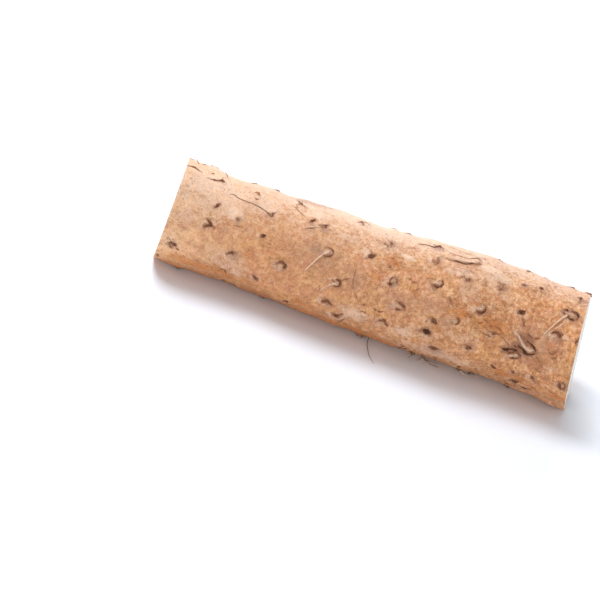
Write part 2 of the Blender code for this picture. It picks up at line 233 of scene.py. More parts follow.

# Strokes of the scars on the front: tone (-1 pale root, 1 near black), thickness, and route as
# places along and distances below the middle line. The dark strokes are partly the scars' dark
# cork and partly painted shade in their grooves and under the rootlets that lie on the skin.
STROKES = (
    (0.80, 1.3, ((0.4, -21.7), (3.8, -22.3), (8.2, -21.6))),
    (0.75, 0.9, ((12.6, -20.5), (16.5, -20.8), (21.2, -21.5))),
    (0.85, 1.5, ((17.6, -21.0), (20.4, -21.6))),
    (0.35, 0.8, ((12.0, -23.0), (15.0, -23.4))),
    (0.85, 1.6, ((21.1, -8.3), (21.8, -9.2), (22.7, -10.3))),
    (0.90, 1.0, ((19.1, -1.4), (20.6, -0.5), (22.0, 0.6), (24.2, 1.7))),
    (0.90, 1.4, ((19.3, 1.8), (21.0, 1.6), (22.6, 1.2))),
    (-0.7, 1.1, ((18.3, 0.9), (19.7, 0.3))),
    (-0.3, 0.7, ((19.8, -2.5), (22.0, -2.8), (24.6, -1.4))),
    (0.85, 1.3, ((6.3, 16.3), (8.0, 15.9), (9.3, 17.1))),
    (0.80, 1.0, ((6.6, 18.0), (7.6, 18.6))),
    (0.45, 0.7, ((9.4, 17.6), (11.2, 18.6))),
    (-0.6, 0.8, ((6.9, 17.0), (7.7, 17.5))),
    (0.80, 1.2, ((34.3, 12.3), (35.6, 11.1), (37.8, 10.4))),
    (-0.6, 0.9, ((36.6, 12.7), (38.8, 12.5))),
    (0.45, 0.9, ((32.9, 21.7), (34.2, 20.3), (36.4, 20.4), (37.1, 22.0))),
    (0.50, 0.8, ((37.2, -20.9), (38.6, -21.2), (39.8, -20.2))),
    (0.30, 0.7, ((37.0, -18.6), (38.8, -17.8), (40.2, -18.6))),
    (0.60, 1.6, ((46.7, -12.7), (48.6, -12.7))),
    (0.80, 1.0, ((48.6, -13.3), (50.0, -14.9))),
    (0.75, 1.4, ((50.4, 17.8), (51.9, 18.4))),
    (0.45, 1.0, ((52.4, 19.2), (53.6, 19.0))),
    (0.85, 1.3, ((58.3, -24.4), (60.2, -23.4), (62.3, -22.7))),
    (0.80, 1.1, ((59.3, 8.4), (60.3, 7.0), (62.0, 6.6), (63.8, 7.6), (64.2, 9.4))),
    (0.85, 0.9, ((63.4, 8.2), (63.8, 9.6))),
    (-0.5, 1.3, ((61.0, 8.8), (61.3, 10.4))),
    (0.85, 1.6, ((68.1, -16.2), (69.6, -17.7))),
    (0.85, 1.5, ((72.9, -15.9), (75.0, -16.6), (76.7, -17.6))),
    (0.50, 0.9, ((68.0, 24.3), (71.6, 24.6))),
    (0.80, 1.1, ((79.4, -7.2), (81.4, -7.7), (83.5, -6.8), (84.0, -5.2), (82.5, -3.5), (81.0, -2.7))),
    (-0.9, 1.5, ((81.9, -5.6), (80.8, -5.3))),
    (0.85, 1.0, ((90.0, 9.2), (91.6, 8.9), (92.3, 7.4), (91.7, 5.9), (90.0, 5.5))),
    (0.55, 0.8, ((92.5, 5.3), (93.6, 4.2), (95.8, 3.0))),
    (0.70, 0.8, ((88.0, 6.5), (89.0, 7.1))),
    (-0.8, 1.3, ((90.9, 7.4), (90.0, 7.6))),
    (0.80, 1.1, ((86.9, 18.8), (88.2, 17.3), (90.2, 16.9), (92.1, 18.5))),
    (-0.4, 0.9, ((88.2, 19.2), (90.6, 19.2))),
    (0.80, 1.5, ((94.1, 22.7), (96.0, 22.2), (98.2, 20.8))),
    (-0.4, 0.7, ((97.4, 23.6), (99.2, 22.7), (99.9, 20.8))),
    (0.60, 0.7, ((97.0, 26.0), (98.4, 24.4), (100.6, 22.3))),
    (0.80, 1.2, ((90.7, -24.3), (92.0, -25.1), (93.2, -24.0))),
    (0.80, 1.7, ((100.2, -9.3), (102.0, -10.6), (103.8, -12.2))),
    (0.80, 1.1, ((108.2, -21.0), (109.6, -19.9), (109.6, -18.3))),
    (0.65, 0.8, ((105.8, -19.3), (107.0, -18.5), (108.2, -18.0))),
    (-0.5, 0.9, ((107.0, -20.1), (108.3, -19.4))),
    (0.45, 0.7, ((110.8, -20.0), (111.3, -18.5))),
    (0.55, 1.4, ((112.0, -13.2), (113.6, -12.9))),
    (0.55, 1.2, ((114.2, -10.6), (115.0, -11.4))),
    (0.50, 1.4, ((111.8, -9.2), (113.6, -8.0))),
    (0.40, 0.6, ((105.4, 17.1), (107.6, 16.6), (110.2, 17.0))),
    (0.45, 0.7, ((107.2, 18.7), (109.8, 19.4))),
    (0.60, 1.3, ((106.2, 13.2), (107.2, 12.9))),
    (0.90, 1.4, ((114.9, -0.8), (116.3, -0.5))),
    (0.60, 0.9, ((114.9, -2.6), (116.2, -4.2), (117.8, -3.8), (118.6, -2.0))),
    (-0.7, 0.9, ((116.3, -2.8), (117.2, -1.7), (117.4, -0.1))),
    (0.75, 1.2, ((121.4, 6.5), (123.6, 6.9), (125.7, 7.8), (126.5, 9.0))),
    (0.70, 1.0, ((122.6, 10.0), (124.9, 9.8))),
    (-0.3, 1.0, ((122.4, 8.2), (124.4, 8.5))),
    (0.75, 1.2, ((116.9, 17.7), (118.6, 17.0), (120.3, 17.9), (121.5, 19.1))),
    (-0.3, 0.9, ((117.2, 19.3), (118.9, 19.1))),
    (0.85, 1.4, ((130.0, -24.7), (132.0, -25.6), (134.3, -25.3))),
    (0.50, 0.9, ((131.4, -18.2), (132.6, -16.9), (134.4, -17.2), (134.8, -19.2))),
    (-0.3, 1.0, ((130.2, -18.0), (131.2, -16.8))),
    (0.85, 1.2, ((135.4, -6.9), (137.4, -6.3), (139.3, -7.0), (140.2, -8.6), (139.2, -10.1))),
    (-0.8, 0.8, ((139.0, -8.7), (137.9, -7.8), (136.4, -8.2))),
    (0.60, 0.7, ((134.2, -9.5), (136.2, -9.4))),
    (0.70, 1.7, ((140.4, 8.9), (142.0, 9.7), (143.3, 10.7))),
    (0.45, 1.1, ((138.4, 11.4), (139.3, 10.9))),
    (1.15, 1.9, ((137.5, 16.5), (139.6, 15.1), (141.5, 16.1), (142.5, 17.3))),
    (1.15, 1.5, ((139.8, 15.8), (140.8, 17.0))),
    (0.70, 1.3, ((144.4, 23.3), (146.2, 22.6))),
    (0.70, 1.4, ((147.6, 23.0), (149.7, 22.7))),
    (0.75, 0.9, ((150.7, 8.2), (152.2, 8.7), (153.7, 7.6), (153.9, 6.0), (152.6, 5.1))),
    (-0.8, 1.3, ((151.7, 6.8), (152.2, 7.0))),
    (0.75, 1.9, ((150.7, -14.0), (151.9, -14.6))),
    (0.60, 1.0, ((147.6, -14.6), (148.4, -14.6))),
    (0.60, 1.3, ((150.0, -24.9), (152.2, -25.7), (154.4, -25.0))),
    (0.85, 1.2, ((137.4, -20.8), (142.0, -20.9), (147.0, -21.3), (150.6, -22.3), (152.6, -23.6))),
    (0.90, 1.3, ((148.6, -21.8), (151.0, -22.5))),
    (0.40, 0.6, ((138.6, -24.1), (144.0, -24.3), (149.6, -24.6))),
    (0.90, 1.2, ((160.6, -1.4), (162.6, -0.9), (164.2, -2.2), (164.0, -4.2), (162.8, -5.4))),
    (-0.9, 0.9, ((162.5, -4.4), (162.4, -2.9), (160.8, -2.2), (158.4, -2.2))),
    (0.50, 0.9, ((166.8, -15.4), (168.2, -14.7), (169.6, -15.2))),
    (0.45, 0.8, ((167.4, -18.2), (169.4, -18.0), (170.3, -16.4))),
    (0.60, 1.7, ((162.4, 17.2), (163.5, 17.6))),
    (0.95, 1.9, ((180.4, -7.8), (182.0, -7.2))),
    (1.00, 1.6, ((178.4, 12.5), (180.4, 12.4), (182.4, 12.7))),
    (0.80, 1.5, ((182.8, 8.6), (184.6, 9.4), (186.6, 10.2))),
    (0.50, 0.8, ((182.6, -5.4), (183.8, -3.2), (185.6, -0.6))),
    (1.00, 1.6, ((186.6, 3.4), (189.9, 4.6), (193.0, 6.0), (195.2, 7.8))),
    (0.95, 1.8, ((183.8, 7.8), (187.0, 9.0), (189.5, 10.3), (191.6, 10.4), (193.8, 9.5), (195.4, 8.2))),
    (0.50, 0.6, ((187.7, 5.4), (184.8, 3.0))),
    (-0.9, 1.7, ((193.8, 7.4), (191.6, 8.4), (189.4, 7.9), (187.0, 6.4), (184.4, 4.3), (182.2, 2.8))),
    (0.95, 1.7, ((179.4, 12.8), (182.0, 11.6), (184.8, 11.0), (187.2, 11.6))),
    (0.70, 0.8, ((181.4, 14.3), (183.5, 13.1), (185.2, 12.0))),
    (-0.7, 0.8, ((182.8, 14.8), (184.8, 13.5), (186.6, 12.6))),
    (0.85, 1.2, ((184.4, 15.4), (186.4, 14.7), (188.6, 13.6))),
    (0.70, 0.9, ((187.4, 1.1), (191.0, 2.2), (194.2, 1.0))),
    (0.60, 0.9, ((195.8, 9.8), (198.0, 11.2), (200.4, 13.2))),
    (0.50, 0.9, ((165.0, 1.6), (167.2, 2.2), (169.1, 3.9), (172.4, 3.2), (175.8, 4.9))),
    (0.50, 0.9, ((166.4, 4.4), (168.2, 5.6), (170.2, 6.9), (174.0, 6.4), (178.2, 8.1))),
    (0.45, 0.8, ((168.0, 8.2), (171.0, 9.0), (173.2, 8.4))),
    (0.45, 0.8, ((156.4, 1.5), (158.2, 2.8), (160.4, 2.3))),
    (0.45, 0.8, ((161.4, 3.4), (163.2, 4.2), (164.8, 3.4))),
    (0.55, 1.1, ((145.5, -3.2), (146.8, -1.6), (148.4, 0.4))),
    (0.50, 1.1, ((126.8, -0.4), (128.2, -1.2), (130.0, -2.7))),
    (0.45, 0.9, ((122.8, -6.4), (125.6, -5.2), (129.2, -5.3))),
    (0.50, 0.9, ((200.6, 3.6), (201.0, 5.6), (203.0, 5.6), (204.6, 3.2))),
    (0.45, 0.8, ((203.6, 7.8), (205.4, 6.4), (205.8, 4.8))),
    (0.50, 0.8, ((178.2, 8.3), (179.8, 9.0), (181.2, 9.9))),
    (0.45, 0.8, ((112.0, 13.6), (115.0, 14.2), (117.6, 13.4))),
    (0.40, 0.8, ((196.8, 15.4), (200.2, 15.8), (203.6, 14.8))),
    (0.75, 0.9, ((186.4, 11.3), (187.8, 12.2), (188.6, 13.2))),
    (-0.6, 0.6, ((185.4, 14.1), (187.4, 13.3))),
    (0.80, 1.3, ((199.1, -3.7), (200.6, -5.0), (202.2, -4.9), (203.8, -3.5))),
    (-0.7, 1.1, ((199.9, -2.6), (201.5, -2.2))),
    (0.90, 1.3, ((200.8, -16.4), (202.2, -17.2), (203.6, -16.6))),
    (0.95, 1.6, ((205.2, -18.2), (207.4, -17.9), (208.8, -16.6), (208.4, -15.0))),
    (0.90, 1.3, ((203.8, -14.5), (205.5, -13.7), (207.6, -14.1))),
    (0.75, 1.1, ((200.2, -15.6), (202.2, -15.0))),
    (0.90, 1.2, ((204.8, -17.4), (206.6, -17.0))),
    (-0.6, 0.9, ((202.0, -15.4), (204.5, -16.0), (206.6, -15.6))),
    (0.75, 0.9, ((211.6, 18.4), (212.8, 19.6), (214.2, 18.8), (214.2, 17.0), (212.8, 16.2))),
    (0.85, 1.1, ((211.0, 16.6), (212.0, 17.8), (212.4, 19.0))),
    (-0.2, 0.7, ((212.6, 17.4), (213.4, 17.6))),
    (0.70, 1.6, ((206.2, -25.0), (207.9, -25.0))),
    (0.80, 1.5, ((187.4, 25.7), (190.2, 25.0), (193.0, 24.4))),
    (0.75, 1.1, ((194.8, 26.3), (198.6, 25.8))),
    (0.75, 1.2, ((130.0, 27.9), (132.0, 27.4), (134.5, 26.8))),
    (0.80, 1.5, ((177.0, 22.2), (178.8, 22.7))),
    (0.50, 1.2, ((187.2, 21.2), (188.4, 21.8))),
    (0.55, 1.3, ((197.6, 19.6), (198.4, 20.6))),
    (0.80, 1.5, ((178.0, -21.2), (179.2, -20.8))),
    (0.70, 1.4, ((186.4, -22.2), (187.6, -21.9))),
    (0.45, 1.2, ((0.9, -25.9), (2.6, -26.1))),
    (0.60, 1.5, ((7.4, -25.9), (9.4, -25.9))),
    (0.60, 1.3, ((32.8, -25.5), (36.4, -25.5))),
    (0.75, 1.5, ((45.0, -25.5), (49.2, -25.6))),
    (0.60, 1.3, ((114.6, -27.3), (118.0, -27.4))),
    (0.55, 1.4, ((161.8, -28.5), (165.6, -28.5))),
    (0.65, 1.5, ((178.0, -28.3), (181.0, -28.3))),
    (0.55, 1.3, ((199.6, -28.4), (202.6, -28.5))),
    (0.75, 1.9, ((211.9, -5.8), (212.2, -3.8))),
    (0.60, 1.4, ((1.4, 24.2), (2.6, 25.0))),
)

# The side that the camera doesn't see takes scars by the solid's rule
HIDDEN_SEED = 11
HIDDEN_SCARS = 58
HIDDEN_ROOTLETS = 7
HIDDEN_FROM = 152.0
HIDDEN_TO = 326.0
RESTING_HALF = 24.0
SCAR_SPACING = 9.5
CUT_MARGIN = 5.0
SMALLEST_SCAR = 2.2
WIDEST_SCAR = 4.2
STRAIGHT_DOWN = 180.0

# Fineness of the tuber's mesh
ROUND_STEPS = 264
LENGTH_STEPS = 322
CUT_RINGS = (0.012, 0.012, 0.03, 0.06, 0.12, 0.2, 0.25)
FIT_DEPTH = 3       # how much of the solid's left end is read to find where it lies
MEAN_RADIUS = 27

# Spread of what a scar does to the skin round it, for each millimetre of its width
SWELL_SPREAD = 0.95
HALO_SPREAD = 1.2
DARK_SPREAD = 0.52
SCAR_REACH = 4.5
PATCH_RISE = 0.12   # how far the flaky pale patches stand up

Scar = namedtuple("Scar", "kind along degrees width spin")


def station(along):
    """Radius and sideways swing of the middle line, on smooth curves."""
    along = np.asarray(along, dtype=float)
    places = STATION_TABLE[:, 0]
    index = np.clip(np.searchsorted(places, along) - 1, 0, len(places) - 2)
    step = (places[index + 1] - places[index])[..., None]
    t = np.clip((along[..., None] - places[index][..., None]) / step, 0, 1)
    value = (
        STATION_TABLE[index] * (2 * t**3 - 3 * t**2 + 1)
        + STATION_SLOPES[index] * step * (t**3 - 2 * t**2 + t)
        + STATION_TABLE[index + 1] * (3 * t**2 - 2 * t**3)
        + STATION_SLOPES[index + 1] * step * (t**3 - t**2)
    )
    return value[..., 1], value[..., 2]


def lump(along, angle):
    """Height of the skin's soft lumps."""
    return sum(
        height * np.sin(2 * np.pi * waves * along * MM + turns * angle + phase)
        for height, waves, turns, phase in LUMPS
    )


def middle(along):
    """Middle of the section, as rows of along, back and up."""
    radius, side = station(along)
    return np.stack((np.asarray(along, dtype=float), side, radius - REST_SAG), axis=-1)


def surface(along, degrees, height=0.0):
    """Points on the skin, or a little over it."""
    along, degrees, height = np.broadcast_arrays(
        *(np.asarray(a, dtype=float) for a in (along, degrees, height)))
    angle = np.radians(degrees)
    radius, _ = station(along)
    reach = radius + lump(along, angle) + height
    out = np.stack((np.zeros_like(angle), -np.sin(angle), np.cos(angle)), axis=-1)
    points = middle(along) + reach[..., None] * out
    points[..., 2] = np.maximum(points[..., 2], 0.0)
    return points


def left_cut(offset):
    """Place along the piece where the left cut lies, for offsets from the middle line."""
    turn = math.tan(math.radians(LEFT_CUT_TURN))
    lean = math.tan(math.radians(LEFT_CUT_LEAN))
    return lean * offset[..., 2] - turn * offset[..., 1]


def right_cut(offset):
    """Place along the piece where the right cut lies."""
    return MIDDLE_LENGTH - math.tan(math.radians(RIGHT_CUT_LEAN)) * offset[..., 2]


def frame_shift():
    """Where the frame's solid lies from the piece's own measures, read from its left cut."""
    low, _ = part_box("yam")
    solid = np.array([v.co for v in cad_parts["yam"].data.vertices]) / MM
    rim = solid[solid[:, 0] < low[0] / MM + FIT_DEPTH]
    own = surface(0.0, np.arange(0, 360, 2))
    own[:, 0] = left_cut(own - middle(0.0))
    return (rim.min(axis=0) + rim.max(axis=0) - own.min(axis=0) - own.max(axis=0)) / 2


SHIFT = frame_shift() * np.array((1, 1, 0))


def placed(points):
    """Millimetres of the piece as metres in the frame."""
    return (np.asarray(points) + SHIFT) * MM


def seen_at(along, below):
    """Degrees round the piece of a place that the camera sees this far below the middle line."""
    radius, _ = station(along)
    return SIGHT + math.degrees(math.asin(max(-1.0, min(1.0, below / float(radius)))))


def skin_frame(along, degrees, height=0.0):
    """Matrix of a place on the skin: X runs along the piece, Z stands out of the skin."""
    lengthwise = Vector(surface(along + 1, degrees) - surface(along - 1, degrees)).normalized()
    crosswise = Vector(surface(along, degrees + 2) - surface(along, degrees - 2)).normalized()
    outwards = crosswise.cross(lengthwise).normalized()
    if outwards.dot(Vector(surface(along, degrees) - middle(along))) < 0:
        outwards.negate()
    sideways = outwards.cross(lengthwise)
    turn = Matrix((lengthwise, sideways, outwards)).transposed().to_4x4()
    place = Vector(placed(surface(along, degrees, height)))
    return Matrix.Translation(place) @ turn @ Matrix.Scale(MM, 4)


HOOD_WAY = math.radians(35)     # the scars' hoods point up and towards the slanted cut
RAISED = ("dot", "mound", "low", "stub", "streak", "ringed")


def front_scars():
    """Scars on the side that the camera sees."""
    draw = random.Random(HIDDEN_SEED + 1)
    groups = (
        ("dot", DOTS), ("mound", RINGED), ("low", EDGE_SCARS), ("mound", STUBS),
        ("streak", STREAKS), ("speck", SPECKS),
    )
    return [
        Scar(kind, along, seen_at(along, below), width, HOOD_WAY + draw.uniform(-0.9, 0.9))
        for kind, group in groups
        for along, below, width in group
    ]


def hidden_scars():
    """Scars on the other side, spread by the same seeded draw as in the solid."""
    draw = random.Random(HIDDEN_SEED)
    look = random.Random(HIDDEN_SEED + 3)
    front = DOTS + RINGED + STUBS + STREAKS + EDGE_SCARS
    taken = [surface(along, seen_at(along, below)) for along, below, _ in front]
    scars = []
    while len(scars) < HIDDEN_SCARS:
        along = draw.uniform(CUT_MARGIN, MIDDLE_LENGTH - CUT_MARGIN)
        degrees = draw.uniform(HIDDEN_FROM, HIDDEN_TO)
        width = draw.uniform(SMALLEST_SCAR, WIDEST_SCAR)
        point = surface(along, degrees)
        crowded = any(np.linalg.norm(point - other) < SCAR_SPACING for other in taken)
        if crowded or abs(degrees - STRAIGHT_DOWN) < RESTING_HALF:
            continue
        taken.append(point)
        kind = look.choice(("dot", "dot", "ringed", "ringed", "stub"))
        scars.append(Scar(kind, along, degrees, width, HOOD_WAY + look.uniform(-1.2, 1.2)))
    return scars


FRONT_SCARS = front_scars()
BACK_SCARS = hidden_scars()
SCARS = FRONT_SCARS + BACK_SCARS


def smooth_route(points, steps):
    """Points of a smooth curve through a route's own points."""
    knots = np.array(points, dtype=float)
    where = np.arange(len(knots))
    slopes = np.gradient(knots, axis=0)
    route = []
    for place in np.linspace(0, len(knots) - 1, steps):
        index = min(int(place), len(knots) - 2)
        t = place - where[index]
        route.append(
            knots[index] * (2 * t**3 - 3 * t**2 + 1) + slopes[index] * (t**3 - 2 * t**2 + t)
            + knots[index + 1] * (3 * t**2 - 2 * t**3) + slopes[index + 1] * (t**3 - t**2)
        )
    return np.array(route)


def skin_distance(along, degrees, scar):
    """Steps along and round the skin, in millimetres, from a scar."""
    radius, _ = station(scar.along)
    round_by = (degrees - scar.degrees + 180) % 360 - 180
    return along - scar.along, np.radians(round_by) * float(radius)


def unrolled(points):
    """Places along and degrees round the piece of points in the frame."""
    own = np.asarray(points) / MM - SHIFT
    radius, side = station(own[:, 0])
    up = own[:, 2] - (radius - REST_SAG)
    return own[:, 0], np.degrees(np.arctan2(side - own[:, 1], up))


def stroke_marks(along, degrees, dark, pale):
    """Adds the scars' strokes to fields of dark and pale marks, with soft edges; the dark marks are
    partly cork and partly painted shade.
    """
    for tone, thickness, points in STROKES:
        field = dark if tone > 0 else pale
        strength = 0.3 + 0.7 * min(tone, 1) if tone > 0 else 0.8
        spread = 0.6 * thickness + 0.45
        steps = 5 + int(math.dist(points[0], points[-1]) / 0.6)
        for at, round_at in smooth_route([(a, seen_at(a, b)) for a, b in points], steps):
            du, dv = skin_distance(along, degrees, Scar("stroke", at, round_at, 1, 0))
            near = np.abs(du) + np.abs(dv) < 4 * spread
            far = np.hypot(du[near], dv[near]) / spread
            field[near] = np.maximum(field[near], strength * np.exp(-(far**2)))


def skin_marks(along, degrees):
    """Relief of the skin in millimetres, and its grey halos, brown marks, pale patches and rusty
    patches. The pale patches are partly painted highlight, the rusty ones low on the front partly
    painted warm reflected light, and the brown marks partly painted shade in the scars' grooves.
    """
    flat = surface(along, degrees)
    relief = np.array([
        0.18 * noise.fractal(Vector(p) / 9, 0.9, 2.1, 3)
        + 0.07 * noise.fractal(Vector((p[0] / 1.6, p[1] / 3, p[2] / 3)), 0.8, 2.2, 2)
        for p in flat
    ])
    halo = np.zeros(len(flat))
    mark = np.zeros(len(flat))
    pale = np.zeros(len(flat))
    for index, scar in enumerate(SCARS):
        du, dv = skin_distance(along, degrees, scar)
        reach = SCAR_REACH * scar.width
        near = (np.abs(du) < reach) & (np.abs(dv) < reach)
        du, dv = du[near], dv[near]
        far = np.hypot(du, dv)
        facing = np.cos(np.arctan2(dv, du) - scar.spin)
        speck = scar.kind == "speck"
        swell = 0.05 if speck else 0.10 * scar.width * (1 + 0.3 * facing)
        relief[near] += swell * np.exp(-((far / (SWELL_SPREAD * scar.width)) ** 2))
        grey = 0.2 if speck else 0.55 + 0.35 * math.sin(index * 2.4)
        cloud = np.exp(-((far / (HALO_SPREAD * scar.width)) ** 2)) * (1 + 0.35 * facing)
        halo[near] = np.maximum(halo[near], grey * cloud)
        depth = {"speck": 0.75, "mound": 0.6}.get(scar.kind, 0.95)
        dark = depth * np.exp(-((far / (DARK_SPREAD * scar.width)) ** 2))
        mark[near] = np.maximum(mark[near], dark)
        if not speck:
            # A pale spot beside each scar, towards the square cut: painted highlight on the lit side of
            # its swelling.
            lit = np.hypot(du + 0.75 * scar.width, dv - 0.3 * scar.width) / (0.8 * scar.width)
            pale[near] = np.maximum(pale[near], 0.55 * np.exp(-(lit**2)))
    stroke_marks(along, degrees, mark, pale)
    rust_and_reflection = np.zeros(len(flat))
    for kind, at, below, length, breadth, slant, strength in PATCHES:
        du, dv = skin_distance(along, degrees, Scar(kind, at, seen_at(at, below), 1, 0))
        turn = math.radians(slant)
        lengthwise = du * math.cos(turn) + dv * math.sin(turn)
        crosswise = dv * math.cos(turn) - du * math.sin(turn)
        far = np.hypot(lengthwise / length, crosswise / breadth)
        field = {"pale": pale, "grey": halo, "rust_and_reflection": rust_and_reflection, "dark": mark}[kind]
        shape = strength * np.exp(-((2 * far) ** 2))
        np.maximum(field, shape, out=field)
        if kind == "pale":
            relief += PATCH_RISE * shape
    return relief, {"halo": halo, "mark": mark, "pale": pale, "rust_and_reflection": rust_and_reflection}


class Value:
    """A number's socket, on which Python's operators add Math nodes."""

    def __init__(self, web, socket):
        self.web = web
        self.socket = socket

    def __add__(self, other):
        return self.web.math("ADD", self, other)

    def __radd__(self, other):
        return self.web.math("ADD", other, self)

    def __sub__(self, other):
        return self.web.math("SUBTRACT", self, other)

    def __rsub__(self, other):
        return self.web.math("SUBTRACT", other, self)

    def __mul__(self, other):
        return self.web.math("MULTIPLY", self, other)

    def __rmul__(self, other):
        return self.web.math("MULTIPLY", other, self)

    def __abs__(self):
        return self.web.math("ABSOLUTE", self)


class Web:
    """The nodes of one material."""

    def __init__(self, name):
        self.material = bpy.data.materials.new(name)
        self.material.use_nodes = True
        self.tree = self.material.node_tree
        self.tree.nodes.clear()
        self.place = self.node("ShaderNodeTexCoord").outputs["Object"]

    def node(self, kind, settings=None, stops=None, values=None):
        """New node: its settings and a ramp's stops first, then its sockets' values or links."""
        item = self.tree.nodes.new(kind)
        for key, setting in (settings or {}).items():
            setattr(item, key, setting)
        if stops:
            ramp = item.color_ramp.elements
            while len(ramp) < len(stops):
                ramp.new(0.5)
            for element, (position, colour) in zip(ramp, stops):
                element.position = position
                element.color = (*colour, 1)
        sockets = {s.name: s for s in item.inputs} | {s.identifier: s for s in item.inputs}
        for key, value in (values or {}).items():
            socket = sockets[key]
            if isinstance(value, Value):
                value = value.socket
            if isinstance(value, bpy.types.NodeSocket):
                self.tree.links.new(value, socket)
            else:
                socket.default_value = value
        return item

    def math(self, operation, *numbers):
        """Math node for an operation on numbers and sockets."""
        item = self.tree.nodes.new("ShaderNodeMath")
        item.operation = operation
        for socket, number in zip(item.inputs, numbers):
            if isinstance(number, Value):
                self.tree.links.new(number.socket, socket)
            else:
                socket.default_value = number
        return Value(self, item.outputs[0])

    def ramp(self, value, low, high):
        """0 below low, 1 over high, smooth between."""
        item = self.node(
            "ShaderNodeMapRange", {"interpolation_type": "SMOOTHSTEP"},
            values={"Value": value, "From Min": low, "From Max": high},
        )
        return Value(self, item.outputs["Result"])

    def mix(self, factor, first, second):
        """Colour between two colours."""
        first = (*first, 1) if isinstance(first, tuple) else first
        second = (*second, 1) if isinstance(second, tuple) else second
        item = self.node(
            "ShaderNodeMix", {"data_type": "RGBA"},
            values={"Factor_Float": factor, "A_Color": first, "B_Color": second},
        )
        return next(s for s in item.outputs if s.identifier == "Result_Color")

    def shaded(self, colour, factor):
        """Colour made lighter or darker by a factor."""
        item = self.node(
            "ShaderNodeVectorMath", {"operation": "SCALE"},
            values={"Vector": colour, "Scale": factor},
        )
        return item.outputs["Vector"]

    def stretched(self, scale):
        """Object coordinates in millimetres, stretched by a scale for each axis."""
        scale = scale if isinstance(scale, tuple) else (scale, scale, scale)
        item = self.node(
            "ShaderNodeMapping",
            values={"Vector": self.place, "Scale": tuple(s / MM for s in scale)},
        )
        return item.outputs["Vector"]

    def noise(self, scale, detail=3.0, roughness=0.5, distortion=0.0):
        """Noise of 0 to 1, with features about 1 / scale millimetres wide."""
        item = self.node(
            "ShaderNodeTexNoise", {"noise_dimensions": "3D"},
            values={
                "Vector": self.stretched(scale), "Scale": 1.0, "Detail": detail,
                "Roughness": roughness, "Distortion": distortion,
            },
        )
        return Value(self, item.outputs["Fac"])

    def cells(self, scale):
        """Distance from the middles of cells that are about 1 / scale millimetres wide."""
        item = self.node(
            "ShaderNodeTexVoronoi", values={"Vector": self.stretched(scale), "Scale": 1.0})
        return Value(self, item.outputs["Distance"])

    def attribute(self, name):
        """The piece's own number of that name, held by its points."""
        item = self.node("ShaderNodeAttribute", {"attribute_name": name})
        return Value(self, item.outputs["Fac"])

    def bump(self, height, distance, strength=1.0, under=None):
        """Normal of a height pattern, the distance in millimetres."""
        values = {"Height": height, "Distance": distance * MM, "Strength": strength}
        if under is not None:
            values["Normal"] = under
        return self.node("ShaderNodeBump", values=values).outputs["Normal"]

    def finish(self, **sockets):
        """Principled shader with its sockets, named with underscores for spaces."""
        values = {key.replace("_", " "): value for key, value in sockets.items()}
        shader = self.node("ShaderNodeBsdfPrincipled", values=values)
        output = self.node("ShaderNodeOutputMaterial")
        self.tree.links.new(shader.outputs[0], output.inputs["Surface"])
        return self.material


def skin_colour(web, colours):
    """Mottled tan of the skin, lighter and yellower at its square cut and browner at its slanted one:
    partly the skin's own colour and partly painted light, standing for the brighter light at the square
    cut.
    """
    along = Value(web, web.node("ShaderNodeSeparateXYZ", values={"Vector": web.place}).outputs[0])
    patches = web.noise(0.05, 3, 0.55)
    clouds = web.noise(0.12, 4, 0.62, 0.6)
    dapples = web.noise(0.28, 4, 0.62, 0.4)
    grain = web.noise(0.5, 4, 0.68, 0.5)
    fine = web.noise(1.6, 3, 0.6)
    fibres = web.noise((0.8, 0.3, 0.3), 4, 0.62, 1.0)
    wander = (patches - 0.5) * 0.06
    # Tan to brown along the piece; the lighter tan at the square cut is partly painted light.
    colour = web.mix(
        web.ramp(along + wander, -0.11, -0.06), tuple(colours.tan), tuple(colours.middle))
    colour = web.mix(web.ramp(along + wander, -0.02, 0.09), colour, tuple(colours.brown))
    colour = web.mix(web.ramp(clouds, 0.52, 0.64) * 0.55, colour, tuple(colours.ochre))
    colour = web.mix(web.ramp(clouds, 0.49, 0.36) * 0.75, colour, tuple(colours.pink))
    aged = web.ramp(along, -0.1, 0.06) * 0.55 + 0.45
    colour = web.mix(web.ramp(dapples, 0.54, 0.64) * aged * 0.5, colour, tuple(colours.flake))
    colour = web.mix(web.ramp(dapples, 0.46, 0.34) * aged * 0.65, colour, tuple(colours.umber))
    colour = web.shaded(colour, (dapples - 0.5) * aged * 0.8 + (clouds - 0.5) * 0.75 + 1.04)
    # The pale field is the skin's bloom and flakes together with painted highlight along the top and
    # beside the scars.
    pale = web.attribute("pale")
    bloom_and_highlight = web.ramp(pale + (grain - 0.5) * 0.9 + (dapples - 0.5) * 0.9, 0.15, 0.95)
    powder = web.mix(web.ramp(pale, 0.5, 0.9), tuple(colours.bloom), tuple(colours.powder))
    powder = web.mix(web.ramp(pale, 1.05, 1.45), powder, tuple(colours.chalk))
    colour = web.mix(bloom_and_highlight * 0.85, colour, powder)
    speckle = grain * 0.6 + fine * 0.15 + fibres * 0.25
    bare = (1.0 - bloom_and_highlight * 0.55) * aged * 0.85
    colour = web.mix(web.ramp(speckle, 0.50, 0.61) * bare, colour, tuple(colours.flake))
    return web.mix(web.ramp(speckle, 0.50, 0.39) * bare, colour, tuple(colours.crevice))


